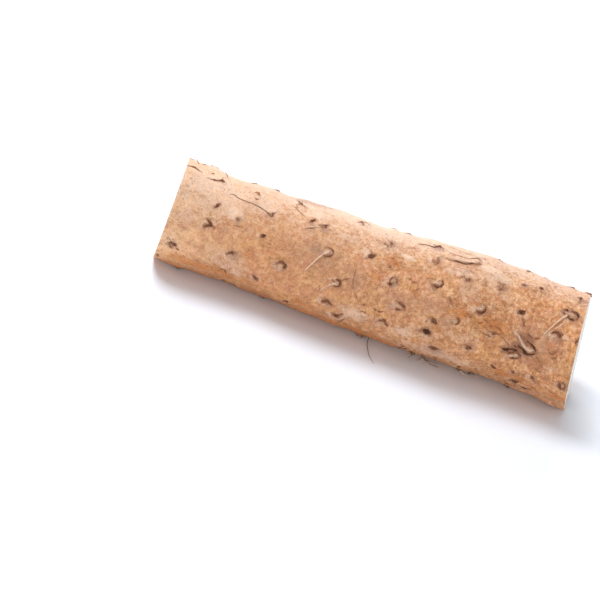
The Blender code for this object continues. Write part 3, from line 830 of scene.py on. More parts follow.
def skin_material(colours):
    """Dry tan skin with crosswise wrinkles, pale flakes, brown cracks and grey scar halos."""
    web = Web("yam_skin")
    colour = skin_colour(web, colours)
    ragged = web.noise(0.55, 5, 0.7, 0.5)
    coarse = web.noise(0.2, 4, 0.65, 0.8)
    wrinkles = web.noise((0.9, 0.33, 0.33), 4, 0.6, 0.6)
    streaks = web.noise((0.17, 0.5, 0.5), 2, 0.5, 1.6)
    # Rusty patches, and along the lower edge painted warm reflected light as well.
    rust_and_reflection = web.attribute("rust_and_reflection")
    rust_and_reflection_mask = web.ramp(rust_and_reflection + (ragged - 0.5) * 1.2 + (coarse - 0.5) * 1.4, 0.25, 0.75)
    colour = web.mix(rust_and_reflection_mask * 0.7, colour, tuple(colours.rust_and_reflection))
    wavy = web.ramp(rust_and_reflection + ragged * 0.6 + coarse * 0.5, 0.62, 0.85)
    lines = web.ramp(abs(streaks - 0.5), 0.05, 0.012) * wavy
    colour = web.mix(lines * 0.55, colour, tuple(colours.crack))
    crack = web.ramp(abs(wrinkles - 0.5), 0.03, 0.0) * web.ramp(web.noise(0.09, 2), 0.45, 0.58)
    colour = web.mix(crack * 0.55, colour, tuple(colours.crack))
    flakes = web.noise((0.5, 0.7, 0.7), 5, 0.75, 0.8)
    pale = web.attribute("pale")
    peeled = web.ramp(flakes + pale * 0.2, 0.58, 0.64) * web.ramp(
        web.noise(0.06, 2) + pale * 0.5, 0.45, 0.60)
    colour = web.mix(peeled * 0.65, colour, tuple(colours.flake))
    halo = web.attribute("halo")
    greyed = web.ramp(halo + (ragged - 0.5) * 1.2, 0.2, 0.95)
    colour = web.mix(greyed * 0.7, colour, tuple(colours.halo))
    # Brown scar marks: the scars' cork, and in their strokes partly painted shade.
    mark = web.attribute("mark")
    scarred = web.ramp(mark + (ragged - 0.5) * 1.1, 0.25, 0.9)
    colour = web.mix(scarred * 0.85, colour, tuple(colours.cork))
    freckle = web.ramp(web.cells(0.42), 0.22, 0.08) * web.ramp(web.noise(0.11, 2), 0.47, 0.58)
    colour = web.mix(freckle * 0.6, colour, tuple(colours.crack))
    relief = wrinkles * 0.4 + web.noise(1.1, 5, 0.7) * 0.6 + peeled * 0.15
    normal = web.bump(relief, 1.1, 0.8)
    normal = web.bump(web.noise(3.4, 3, 0.7), 0.12, 0.35, normal)
    roughness = 0.42 + web.noise(0.8, 3) * 0.25
    return web.finish(
        Base_Color=colour, Roughness=roughness, Normal=normal, Specular_IOR_Level=0.28,
        Sheen_Weight=0.05, Sheen_Roughness=0.35, Sheen_Tint=(1.0, 0.96, 0.94, 1.0),
    )


def flesh_material(colours):
    """Moist white flesh with faint fibres and tiny vessel dots, yellower under the skin."""
    web = Web("yam_flesh")
    depth = web.attribute("depth")
    cloud = web.noise(0.12, 3)
    colour = web.mix(web.ramp(cloud, 0.35, 0.7), tuple(colours.flesh), tuple(colours.flesh_deep))
    under_skin = web.ramp(depth + web.noise(0.5, 3) * 0.03, 0.955, 0.995)
    colour = web.mix(under_skin * 0.8, colour, tuple(colours.under_skin))
    vessels = web.ramp(web.cells(0.45), 0.26, 0.10) * web.ramp(web.noise(0.2, 2), 0.38, 0.55)
    colour = web.mix(vessels * 0.6, colour, tuple(colours.vessel))
    knife = web.noise((0.25, 0.09, 1.3), 3, 0.55)
    normal = web.bump(knife * 0.6 + web.noise(1.6, 4, 0.65) * 0.4 + vessels * -0.3, 0.25, 0.5)
    roughness = 0.32 + web.noise(0.7, 3) * 0.25
    return web.finish(
        Base_Color=colour, Roughness=roughness, Normal=normal, Specular_IOR_Level=0.5,
        Coat_Weight=0.15, Coat_Roughness=0.25,
    )


def scar_material(colours):
    """Corky scars: brown collars, near-black hollows that are partly painted shade, and pale broken
    roots.
    """
    web = Web("yam_scars")
    rough = web.noise(1.6, 4, 0.7)
    shade = web.attribute("tone") + (rough - 0.5) * 0.8
    item = web.node(
        "ShaderNodeValToRGB", values={"Fac": shade * 0.5 + 0.5},
        stops=(
            (0.0, tuple(colours.plug)), (0.3, tuple(colours.rim)), (0.52, tuple(colours.collar)),
            (0.72, tuple(colours.cork)), (0.9, tuple(colours.scar)), (1.0, tuple(colours.hollow)),
        ),
    )
    normal = web.bump(rough * 0.6 + web.noise(4.0, 3, 0.7) * 0.4, 0.5, 0.8)
    return web.finish(
        Base_Color=item.outputs["Color"], Roughness=0.7 + rough * 0.2, Normal=normal,
        Specular_IOR_Level=0.2,
    )


def root_material(name, light, dark, share):
    """Dry rootlet: streaks of two colours."""
    web = Web(name)
    streaks = web.noise((0.6, 1.2, 1.2), 4, 0.7)
    colour = web.mix(web.ramp(streaks, share - 0.12, share + 0.12), tuple(light), tuple(dark))
    normal = web.bump(web.noise(3.0, 3, 0.7), 0.15, 0.6)
    return web.finish(
        Base_Color=colour, Roughness=0.6 + streaks * 0.2, Normal=normal, Specular_IOR_Level=0.3,
    )


def floor_material(colours):
    """Plain pale floor."""
    web = Web("studio_floor")
    tone = web.noise(0.004, 2)
    colour = web.mix(tone, tuple(colours.floor), tuple(c * 0.985 for c in colours.floor))
    return web.finish(Base_Color=colour, Roughness=0.75, Specular_IOR_Level=0.2)


def colour_setting(name, value, description):
    """Colour property of the colours' group."""
    return FloatVectorProperty(
        name=name, description=description, default=value, subtype="COLOR", min=0, max=1, size=3)


class YamColours(bpy.types.PropertyGroup):
    """Colours of the yam and its studio"""

    # The lighter tan is partly the skin's own colour and partly painted light for the square cut's
    # brighter light.
    tan: colour_setting("Tan", (0.80, 0.475, 0.26), "Skin towards the square cut")
    middle: colour_setting("Middle", (0.60, 0.275, 0.12), "Skin half-way along")
    brown: colour_setting("Brown", (0.60, 0.255, 0.095), "Skin towards the slanted cut")
    pink: colour_setting("Pink", (0.65, 0.28, 0.15), "Pinker clouds of the skin")
    ochre: colour_setting("Ochre", (0.62, 0.32, 0.12), "Yellower clouds of the skin")
    umber: colour_setting("Umber", (0.44, 0.20, 0.095), "Darker dapples of the skin")
    # Also paints warm reflected light along the lower edge.
    rust_and_reflection: colour_setting("Rust", (0.64, 0.215, 0.045), "Rusty patches of the skin")
    flake: colour_setting("Flake", (0.78, 0.48, 0.28), "Pale flakes of dry skin")
    # Bloom, powder and chalk colour the pale field, which also holds painted highlight.
    bloom: colour_setting("Bloom", (0.84, 0.61, 0.485), "Bloom of rubbed skin")
    powder: colour_setting("Powder", (0.75, 0.575, 0.50), "Greyer bloom where it is dense")
    chalk: colour_setting("Chalk", (0.90, 0.74, 0.64), "Whitish flakes, the palest of the skin")
    crevice: colour_setting("Crevice", (0.35, 0.14, 0.045), "Pits between the skin's grains")
    crack: colour_setting("Crack", (0.22, 0.09, 0.035), "Fine cracks and freckles")
    halo: colour_setting("Halo", (0.40, 0.22, 0.15), "Greyed skin round a scar")
    cork: colour_setting("Cork", (0.31, 0.128, 0.062), "Brown cork of a scar")
    scar: colour_setting("Scar", (0.165, 0.070, 0.038), "Dark cork of a scar")
    hollow: colour_setting("Hollow", (0.060, 0.022, 0.010), "Deepest part of a scar")
    collar: colour_setting("Collar", (0.48, 0.26, 0.155), "Collar of a scar")
    # The near black is partly painted shade in the deepest part under a scar's hood.
    rim: colour_setting("Rim", (0.58, 0.36, 0.23), "Lighter rim of a scar's collar")
    plug: colour_setting("Plug", (0.64, 0.44, 0.32), "Pale broken root in a scar")
    pale_root: colour_setting("Pale rootlet", (0.70, 0.48, 0.34), "Pale rootlets")
    pale_root_streak: colour_setting("Pale rootlet's streaks", (0.42, 0.24, 0.145), "Their streaks")
    dark_root: colour_setting("Dark rootlet", (0.36, 0.22, 0.14), "Dark rootlets")
    dark_root_streak: colour_setting("Dark rootlet's streaks", (0.12, 0.065, 0.040), "Their streaks")
    hair: colour_setting("Hair", (0.24, 0.15, 0.10), "Fine hairs")
    hair_streak: colour_setting("Hair's streaks", (0.05, 0.03, 0.02), "Their streaks")
    flesh: colour_setting("Flesh", (0.72, 0.70, 0.64), "Cut flesh")
    flesh_deep: colour_setting("Deeper flesh", (0.63, 0.605, 0.53), "Clouds in the cut flesh")
    under_skin: colour_setting("Under skin", (0.68, 0.58, 0.38), "Flesh close under the skin")
    vessel: colour_setting("Vessel", (0.48, 0.43, 0.31), "Vessel dots in the cut flesh")
    floor: colour_setting("Floor", (0.85, 0.87, 0.92), "Studio floor")


class YamSizes(bpy.types.PropertyGroup):
    """Sizes of the yam's fine parts"""

    collar_rise: FloatProperty(
        name="Scar rise", description="Height of a scar's collar for its width",
        default=0.16, min=0.0, max=0.5)
    hair_thickness: FloatProperty(
        name="Hair thickness", description="Thickness of the fine hairs", default=0.26 * MM,
        min=0.05 * MM, max=1.0 * MM, precision=5, unit="LENGTH")
    hair_count: IntProperty(
        name="Hairs", description="Fine hairs spread over the skin", default=80, min=0, max=400)


def finished_piece(name, shape, materials):
    """Object for a finished bmesh, which rides on the only body."""
    mesh = bpy.data.meshes.new(name)
    shape.to_mesh(mesh)
    shape.free()
    mesh.shade_smooth()
    piece = bpy.data.objects.new(name, mesh)
    bpy.context.scene.collection.objects.link(piece)
    for material in materials:
        mesh.materials.append(material)
    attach(piece, "root")
    return piece


def write_attribute(mesh, name, values):
    """Number for each vertex."""
    layer = mesh.attributes.new(name, "FLOAT", "POINT")
    layer.data.foreach_set("value", np.asarray(values, dtype=np.float32))


def unit_tuber():
    """Cylinder of radius 1 and length 1 along X, in fine rings, its ends inset into rings."""
    shape = bmesh.new()
    bmesh.ops.create_cone(
        shape, cap_ends=True, segments=ROUND_STEPS, radius1=1, radius2=1, depth=1,
        matrix=Matrix.Rotation(math.radians(90), 4, "Y"),
    )
    lengthwise = [e for e in shape.edges if abs(e.verts[0].co.x - e.verts[1].co.x) > 0.5]
    bmesh.ops.subdivide_edges(
        shape, edges=lengthwise, cuts=LENGTH_STEPS - 1, use_grid_fill=True)
    shape.faces.ensure_lookup_table()
    ends = [f for f in shape.faces if len(f.verts) > 4]
    for end in ends:
        for ring, thickness in enumerate(CUT_RINGS):
            bmesh.ops.inset_region(
                shape, faces=[end], thickness=thickness, use_even_offset=True)
            end.material_index = 1 if ring else 0
        end.material_index = 1
    for end in ends:
        bmesh.ops.poke(shape, faces=[end])
    return shape


def on_rim(vert):
    """Whether a point of the unit cylinder lies on the edge of one of its ends."""
    return abs(abs(vert.co.x) - 0.5) < 1e-6 and vert.co.yz.length > 0.9999


def shape_tuber(mesh):
    """Moves the cylinder's points out to the skin, or in to the cuts, and marks the skin."""
    unit = np.empty(len(mesh.vertices) * 3)
    mesh.vertices.foreach_get("co", unit)
    unit = unit.reshape(-1, 3)
    share = unit[:, 0] + 0.5
    degrees = np.degrees(np.arctan2(-unit[:, 1], unit[:, 2]))
    depth = np.minimum(np.hypot(unit[:, 1], unit[:, 2]), 1.0)
    along = share * MIDDLE_LENGTH
    relief = 0.0
    for step in range(4):
        points = surface(along, degrees, relief)
        offset = (points - middle(along)) * depth[:, None]
        along = (1 - share) * left_cut(offset) + share * right_cut(offset)
        if step == 1:
            relief, marks = skin_marks(along, degrees)
    points = middle(along) + offset
    points[:, 2] = np.maximum(points[:, 2], 0.0)
    mesh.vertices.foreach_set("co", placed(points).ravel())
    for name, values in (*marks.items(), ("depth", depth)):
        write_attribute(mesh, name, values)
    mesh.update()


class YAM_OT_tuber(bpy.types.Operator):
    """Tuber with its skin and its two cuts"""

    bl_idname = "yam.tuber"
    bl_label = "Tuber"

    def execute(self, context):
        colours = context.scene.yam_colours
        shape = unit_tuber()
        for edge in shape.edges:
            if all(on_rim(vert) for vert in edge.verts):
                edge.smooth = False
        piece = finished_piece(
            "yam_tuber", shape, (skin_material(colours), flesh_material(colours)))
        shape_tuber(piece.data)
        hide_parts("yam")
        return {"FINISHED"}


# Side view of a scar for each millimetre of its width: distance from its middle, height for
# its rise, tone on its hooded side and tone on its open side: -1 pale root, 0 skin, 1 near black.
# The darker tones on the hooded side are partly cork and partly painted shade under the hood.
DOT_PROFILE = (
    (0.60, -0.9, 0.15, 0.10), (0.48, 0.05, 0.35, 0.15), (0.39, 0.65, 0.60, 0.30),
    (0.31, 0.90, 0.85, 0.55), (0.23, 0.55, 1.05, 0.80), (0.16, 0.30, 1.05, 0.90),
    (0.09, 0.70, 0.80, 0.60), (0.0, 0.85, 0.65, 0.65),
)
RINGED_PROFILE = (
    (0.68, -0.9, 0.10, 0.05), (0.56, 0.15, 0.35, 0.05), (0.47, 0.85, 0.60, 0.10),
    (0.39, 1.15, 0.85, 0.20), (0.32, 0.60, 1.10, 0.10), (0.26, 0.05, 1.05, -0.25),
    (0.20, 0.45, 0.20, -0.70), (0.12, 0.85, -0.60, -0.85), (0.0, 0.95, -0.75, -0.75),
)
STREAK_PROFILE = (
    (0.62, -0.7, 0.15, 0.15), (0.48, 0.15, 0.35, 0.30), (0.36, 0.60, 0.70, 0.60),
    (0.24, 0.50, 1.00, 0.85), (0.12, 0.60, 0.90, 0.90), (0.0, 0.80, 0.75, 0.75),
)
MOUND_PROFILE = (
    (0.68, -0.9, 0.05, 0.00), (0.54, 0.05, 0.20, 0.05), (0.42, 0.50, 0.40, 0.10),
    (0.30, 0.75, 0.45, 0.05), (0.18, 0.80, 0.35, -0.05), (0.0, 0.80, 0.15, 0.15),
)
PROFILES = {
    "dot": DOT_PROFILE, "ringed": RINGED_PROFILE, "low": DOT_PROFILE, "stub": RINGED_PROFILE,
    "streak": STREAK_PROFILE, "mound": MOUND_PROFILE,
}
KNOB_STEPS = {"streak": 10}
HOOD_RISE = 0.5
NOISE_SEED = 3      # without it, the noise that roughens the scars changes from run to run

# Width of the scars' bumps and crumbs, and how far they push a scar and a stroke out of shape
BUMP_WIDTH = 1.3
CRUMB_WIDTH = 0.5
SCAR_BUMP = 0.34
SCAR_CRUMB = 0.10
STROKE_BUMP = 0.6
STROKE_CRUMB = 0.3


def knob_template(kind):
    """Turned scar of width 1 and rise 1, hooded towards +X, with its tones."""
    shape = bmesh.new()
    profile = PROFILES[kind]
    points = [shape.verts.new((far, 0, height)) for far, height, _, _ in profile]
    edges = [shape.edges.new(pair) for pair in zip(points, points[1:])]
    bmesh.ops.spin(
        shape, geom=points + edges, axis=(0, 0, 1), cent=(0, 0, 0), dvec=(0, 0, 0),
        angle=2 * math.pi, steps=KNOB_STEPS.get(kind, 12), use_merge=True, use_duplicate=False,
    )
    bmesh.ops.remove_doubles(shape, verts=shape.verts, dist=0.001)
    rim = [e for e in shape.edges if len(e.link_faces) == 1]
    bmesh.ops.contextual_create(shape, geom=rim)
    bmesh.ops.recalc_face_normals(shape, faces=shape.faces)
    far = np.array([v.co.xy.length for v in shape.verts])
    facing = np.array([v.co.x / max(v.co.xy.length, 0.01) for v in shape.verts])
    reach, _, hooded, opened = np.array(profile)[::-1].T
    hood = np.clip(facing * 0.75 + 0.6, 0, 1)
    tones = hood * np.interp(far, reach, hooded) + (1 - hood) * np.interp(far, reach, opened)
    collar = np.exp(-(((far - 0.38) / 0.14) ** 2))
    for vert, lift in zip(shape.verts, HOOD_RISE * facing * collar):
        vert.co.z += lift
    mesh = bpy.data.meshes.new("knob_" + kind)
    shape.to_mesh(mesh)
    shape.free()
    return mesh, tones


def make_uneven(verts, scar):
    """Pulls a turned scar out of round, each in its own way."""
    draw = random.Random(round(scar.along * 100 + scar.degrees * 7))
    phases = [draw.uniform(0, 2 * math.pi) for _ in range(3)]
    for vert in verts:
        angle = math.atan2(vert.co.y, vert.co.x)
        pull = 1 + 0.16 * math.sin(2 * angle + phases[0]) + 0.12 * math.sin(3 * angle + phases[1])
        pull += 0.07 * math.sin(5 * angle + phases[2])
        vert.co.x *= pull
        vert.co.y *= pull


def knob_matrix(scar, rise):
    """Place, turn and stretch of a scar."""
    draw = random.Random(round(scar.along * 1000 + scar.degrees))
    stretch = 1.7 if scar.kind == "streak" else draw.uniform(1.0, 1.25)
    width = scar.width / (1.5 if scar.kind == "streak" else 1.0)
    spin = draw.uniform(-0.35, 0.35) if scar.kind == "streak" else scar.spin
    lean = Matrix.Rotation(draw.uniform(-0.22, 0.22), 4, "Y")
    low = 0.5 if scar.kind == "low" else 1.0
    size = Matrix.Diagonal((width * stretch, width / stretch**0.5, rise * scar.width * low, 1))
    swell = 0.05 * scar.width
    return skin_frame(scar.along, scar.degrees, swell) @ Matrix.Rotation(spin, 4, "Z") @ lean @ size


def skin_tree():
    """Search tree over the finished skin and scars."""
    verts = []
    faces = []
    for name in ("yam_tuber", "root_scars"):
        mesh = bpy.data.objects[name].data
        first = len(verts)
        verts += [v.co.copy() for v in mesh.vertices]
        faces += [[first + index for index in face.vertices] for face in mesh.polygons]
    return BVHTree.FromPolygons(verts, faces)


class YAM_OT_scars(bpy.types.Operator):
    """Corky root scars all over the skin"""

    bl_idname = "yam.scars"
    bl_label = "Root scars"

    def execute(self, context):
        noise.seed_set(NOISE_SEED)
        sizes = context.scene.yam_sizes
        templates = {kind: knob_template(kind) for kind in PROFILES}
        shape = bmesh.new()
        tones = []
        for scar in SCARS:
            if scar.kind not in RAISED:
                continue
            mesh, tone = templates[scar.kind]
            before = len(shape.verts)
            shape.from_mesh(mesh)
            shape.verts.ensure_lookup_table()
            added = shape.verts[before:]
            make_uneven(added, scar)
            bmesh.ops.transform(shape, matrix=knob_matrix(scar, sizes.collar_rise), verts=added)
            tones.append(tone)
        for mesh, _ in templates.values():
            bpy.data.meshes.remove(mesh)
        for vert in shape.verts:
            push = noise.noise_vector(vert.co / (BUMP_WIDTH * MM)) * (SCAR_BUMP * MM)
            push += noise.noise_vector(vert.co / (CRUMB_WIDTH * MM)) * (SCAR_CRUMB * MM)
            vert.co += push
            vert.co.z = max(vert.co.z, 0.0)
        colours = context.scene.yam_colours
        places = unrolled([vert.co for vert in shape.verts])
        dark = np.zeros(len(shape.verts))
        pale = np.zeros(len(shape.verts))
        # The strokes' dark marks, partly painted shade, darken the scars' tones too.
        stroke_marks(*places, dark, pale)
        tones = np.maximum(np.concatenate(tones), dark) - 0.9 * pale
        piece = finished_piece("root_scars", shape, (scar_material(colours),))
        write_attribute(piece.data, "tone", tones)
        return {"FINISHED"}


# Rootlets on the front: thickness, share of it left at their ends, then place along, distance
# below the middle line as seen, and height over the skin
PALE_ROOTLETS = (
    (1.05, 0.6, ((81.8, -5.5, 0.3), (80.4, -4.6, 0.4), (78.6, -2.4, 0.3), (77.0, 0.2, 0.25),
                 (75.6, 3.0, 0.2), (74.5, 5.2, 0.15), (73.4, 7.0, -0.1))),
    (1.0, 0.7, ((90.6, 7.5, 0.3), (89.0, 8.1, 0.4), (87.2, 9.6, 0.3), (85.7, 11.4, 0.2),
                (84.2, 13.6, -0.1))),
    (3.4, 0.6, ((156.0, -26.4, -1.3), (150.0, -26.7, -0.9), (141.0, -26.9, -0.85),
                (132.0, -26.9, -0.95), (124.0, -26.2, -1.5))),
    (2.0, 0.5, ((153.5, -23.6, -0.4), (149.0, -22.8, -0.15), (143.0, -22.2, -0.2),
                (136.0, -22.0, -0.6))),
    (2.6, 0.6, ((155.0, -24.0, -1.1), (159.0, -23.2, -1.0), (164.0, -22.2, -1.4))),
    (1.2, 0.55, ((203.4, -14.6, 0.2), (201.4, -12.2, 0.35), (199.6, -9.2, 0.3),
                 (197.6, -5.4, 0.2), (195.4, -1.2, -0.2))),
    (0.8, 0.6, ((203.6, -11.6, -0.1), (201.8, -8.6, 0.1), (200.0, -6.2, -0.1))),
    (0.7, 0.6, ((73.2, -15.2, 0.0), (69.5, -14.2, 0.1), (65.0, -13.1, -0.1))),
    (0.5, 0.6, ((163.4, 28.6, 0.4), (165.6, 28.6, 1.8), (169.0, 28.6, 2.4), (173.0, 28.6, 0.8))),
    (1.1, 0.5, ((183.2, 14.6, 0.0), (185.0, 13.4, 0.3), (186.8, 12.5, 0.0))),
)
DARK_ROOTLETS = (
    (1.7, 0.8, ((136.8, 28.3, -0.1), (138.0, 28.6, 0.7), (139.2, 28.5, 0.2))),
    (0.6, 0.5, ((138.3, 28.5, 0.6), (137.8, 28.6, 2.0), (136.8, 28.6, 3.2))),
    (0.8, 0.5, ((142.4, 28.4, 0.2), (145.4, 28.7, 1.5), (148.6, 28.7, 2.8), (152.6, 28.6, 3.6))),
    (0.5, 0.5, ((143.2, 28.5, 0.8), (142.4, 28.6, 2.2), (140.8, 28.6, 3.2))),
    (1.3, 0.7, ((149.2, 28.6, 0.0), (150.6, 28.6, 0.5))),
    (1.5, 0.6, ((161.4, 28.5, 0.0), (162.6, 28.7, 0.6), (164.2, 28.6, 0.2))),
    (1.2, 0.7, ((186.8, 28.6, 0.0), (188.6, 28.6, 0.5), (190.0, 28.5, 0.0))),
    (0.9, 0.5, ((168.6, 28.5, 0.0), (171.0, 28.6, 0.5))),
    (0.6, 0.6, ((47.4, -13.2, 0.1), (44.5, -14.2, 0.0), (40.0, -15.0, 0.0), (35.0, -15.4, 0.0),
                (30.5, -16.0, 0.05), (27.5, -17.2, 0.0), (25.2, -16.6, -0.1))),
    (0.5, 0.5, ((70.4, -13.6, 0.0), (67.0, -12.7, 0.0))),
    (0.6, 0.5, ((130.6, -24.5, 0.1), (126.5, -24.7, 0.1), (121.6, -23.6, 0.0))),
    (0.5, 0.5, ((47.0, -27.0, 0.1), (42.0, -27.0, 0.0))),
    (0.45, 0.5, ((58.0, -21.0, 0.0), (61.0, -19.6, 0.0), (64.6, -18.0, 0.0))),
    (0.4, 0.5, ((97.2, -2.0, 0.0), (97.8, 3.4, 0.0), (99.8, 8.0, 0.0), (104.2, 12.8, 0.0))),
)


def seen_route(points):
    """Route as places along, degrees and heights, from places as the camera sees them."""
    return [(along, seen_at(along, below), height) for along, below, height in points]


LOOK_FROM = 6       # millimetres over the skin from which it is looked for
LOWEST_STRAND = 0.1


def on_skin(tree, along, degrees, height):
    """Point over the finished skin and its scars, found by looking down on them."""
    base = Vector(surface(along, degrees))
    out = (base - Vector(middle(along))).normalized()
    start = Vector(placed(base + out * LOOK_FROM))
    hit, _, _, _ = tree.ray_cast(start, -out, 2 * LOOK_FROM * MM)
    point = hit if hit else Vector(placed(base))
    point = point + out * height * MM
    point.z = max(point.z, LOWEST_STRAND * MM)
    return point


def add_strand(curve, tree, route, thickness, taper=0.5, steps=12, lens=False):
    """One tube of a curve, through places along, degrees round and heights over the skin."""
    route = smooth_route(route, steps)
    spline = curve.splines.new("POLY")
    spline.points.add(steps - 1)
    for index, (along, degrees, height) in enumerate(route):
        share = index / (steps - 1)
        swell = math.sin(math.pi * (0.12 + 0.76 * share)) if lens else 1 - (1 - taper) * share
        spline.points[index].co = (*on_skin(tree, along, degrees, height), 1)
        spline.points[index].radius = thickness / 2 * MM * swell
    return spline


def strand_curve(name, sides_setting):
    """Empty curve whose points' radii are its tubes' real radii."""
    curve = bpy.data.curves.new(name, "CURVE")
    curve.dimensions = "3D"
    curve.bevel_depth = 1.0
    curve.bevel_resolution = sides_setting
    curve.use_fill_caps = True
    return curve


def strand_piece(name, curve, material):
    """The curve's tubes as a mesh piece."""
    guide = bpy.data.objects.new(name + "_guide", curve)
    bpy.context.scene.collection.objects.link(guide)
    shape = bmesh.new()
    shape.from_mesh(guide.to_mesh())
    guide.to_mesh_clear()
    bpy.data.objects.remove(guide)
    bmesh.ops.remove_doubles(shape, verts=shape.verts, dist=0.002 * MM)
    bmesh.ops.recalc_face_normals(shape, faces=shape.faces)
    return finished_piece(name, shape, (material,))


def stroke_piece(groups, colours):
    """Strokes as one mesh piece, from a curve for each tone."""
    shape = bmesh.new()
    tones = []
    for tone, curve in groups.items():
        guide = bpy.data.objects.new("stroke_guide", curve)
        bpy.context.scene.collection.objects.link(guide)
        before = len(shape.verts)
        shape.from_mesh(guide.to_mesh())
        guide.to_mesh_clear()
        bpy.data.objects.remove(guide)
        tones.append(np.full(len(shape.verts) - before, tone))
    for vert in shape.verts:
        vert.co += noise.noise_vector(vert.co / (BUMP_WIDTH * MM)) * (STROKE_BUMP * MM)
        vert.co += noise.noise_vector(vert.co / (CRUMB_WIDTH * MM)) * (STROKE_CRUMB * MM)
        vert.co.z = max(vert.co.z, 0.0)
    bmesh.ops.recalc_face_normals(shape, faces=shape.faces)
    piece = finished_piece("scar_strokes", shape, (scar_material(colours),))
    write_attribute(piece.data, "tone", np.concatenate(tones))


def hidden_strokes():
    """Dark hoods and pale broken roots of the ringed scars on the other side; the dark hoods are partly
    painted shade.
    """
    draw = random.Random(HIDDEN_SEED + 4)
    for scar in BACK_SCARS:
        if scar.kind == "dot" or scar.degrees > HIDDEN_TO - 12:
            continue
        reach = 0.42 * scar.width
        first = scar.spin - draw.uniform(1.0, 1.9)
        last = scar.spin + draw.uniform(1.0, 1.9)
        hood = [
            (scar.along + reach * math.cos(a),
             scar.degrees + math.degrees(reach * math.sin(a) / MEAN_RADIUS), 0.0)
            for a in np.linspace(first, last, 5)
        ]
        yield 0.8, 0.3 * scar.width, hood
        tip = draw.uniform(0.3, 0.9) * scar.width
        root = [
            (scar.along - part * tip * math.cos(scar.spin),
             scar.degrees - math.degrees(part * tip * math.sin(scar.spin) / MEAN_RADIUS), 0.1)
            for part in (-0.2, 0.3, 1.0)
        ]
        yield -0.7, 0.26 * scar.width, root


class YAM_OT_strokes(bpy.types.Operator):
    """Dark hoods, hollows and pale root ends of the scars; the dark strokes are partly cork and partly
    painted shade.
    """

    bl_idname = "yam.strokes"
    bl_label = "Scar strokes"

    def execute(self, context):
        noise.seed_set(NOISE_SEED)
        tree = skin_tree()
        groups = {}
        strokes = [
            (tone, thickness, [(along, seen_at(along, below), 0.0) for along, below in points])
            for tone, thickness, points in STROKES
        ]
        for tone, thickness, route in (*strokes, *hidden_strokes()):
            if tone not in groups:
                groups[tone] = strand_curve("strokes", 1)
            lift = 0.0 if tone < 0 else -0.2 * thickness
            route = [(along, degrees, height + lift) for along, degrees, height in route]
            add_strand(groups[tone], tree, route, 0.85 * thickness, steps=8, lens=True)
        stroke_piece(groups, context.scene.yam_colours)
        return {"FINISHED"}


class YAM_OT_rootlets(bpy.types.Operator):
    """Pale and dark rootlets that lie on the skin"""

    bl_idname = "yam.rootlets"
    bl_label = "Rootlets"

    def execute(self, context):
        colours = context.scene.yam_colours
        tree = skin_tree()
        pale = strand_curve("pale_rootlets", 2)
        dark = strand_curve("dark_rootlets", 1)
        for thickness, taper, points in PALE_ROOTLETS:
            add_strand(pale, tree, seen_route(points), thickness, taper, 18)
        for thickness, taper, points in DARK_ROOTLETS:
            add_strand(dark, tree, seen_route(points), thickness, taper, 16)
        draw = random.Random(HIDDEN_SEED + 2)
        # The solid's draw turns each scar first, so as many numbers are passed over here
        for _ in BACK_SCARS:
            draw.uniform(0, 1)
        roots = [s for s in BACK_SCARS
                 if 25 < s.along < MIDDLE_LENGTH - 25 and s.degrees > 225]
        for scar in draw.sample(roots, HIDDEN_ROOTLETS):
            lengthwise = draw.choice((-1, 1)) * draw.uniform(8, 15)
            round_by = draw.uniform(-16, 16)
            thickness = draw.uniform(0.9, 1.2)
            route = [
                (scar.along + share * lengthwise, scar.degrees + share**1.5 * round_by, height)
                for share, height in ((0.0, 0.3), (0.12, 0.9), (0.35, 0.4), (0.7, 0.3), (1.0, 0.0))
            ]
            if scar.degrees < HIDDEN_TO - 26:
                add_strand(pale, tree, route, thickness, 0.5, 14)
        strand_piece("pale_rootlets", pale, root_material(
            "pale_root", colours.pale_root, colours.pale_root_streak, 0.56))
        strand_piece("dark_rootlets", dark, root_material(
            "dark_root", colours.dark_root, colours.dark_root_streak, 0.48))
        return {"FINISHED"}


# Fine hairs that show in the photograph's view, in the same terms as the rootlets
SEEN_HAIRS = (
    (0.42, ((21.4, -24.2, 0.0), (19.5, -25.2, 1.0), (17.0, -25.5, 2.0), (14.6, -25.4, 3.2))),
    (0.50, ((6.0, -24.9, 0.0), (4.2, -25.4, 1.0), (2.6, -25.6, 2.2), (1.2, -25.6, 3.4))),
    (0.36, ((7.5, -25.0, 0.0), (8.8, -25.4, 1.0), (8.6, -25.5, 2.2))),
    (0.34, ((115.0, 28.6, 0.0), (115.6, 28.6, 6), (116.8, 28.6, 14), (118.6, 28.6, 24),
            (121.6, 28.6, 33))),
    (0.30, ((137.5, 27.4, 0.0), (137.0, 28.0, 1.2), (136.0, 28.4, 2.2))),
    (0.34, ((142.5, 27.6, 0.0), (144.5, 28.2, 1.0), (148.0, 28.4, 1.8), (152.0, 28.4, 2.0))),
    (0.30, ((162.0, 27.8, 0.0), (165.0, 28.4, 1.0), (169.0, 28.4, 1.4), (173.0, 28.0, 0.2))),
)
HAIR_SEED = 5


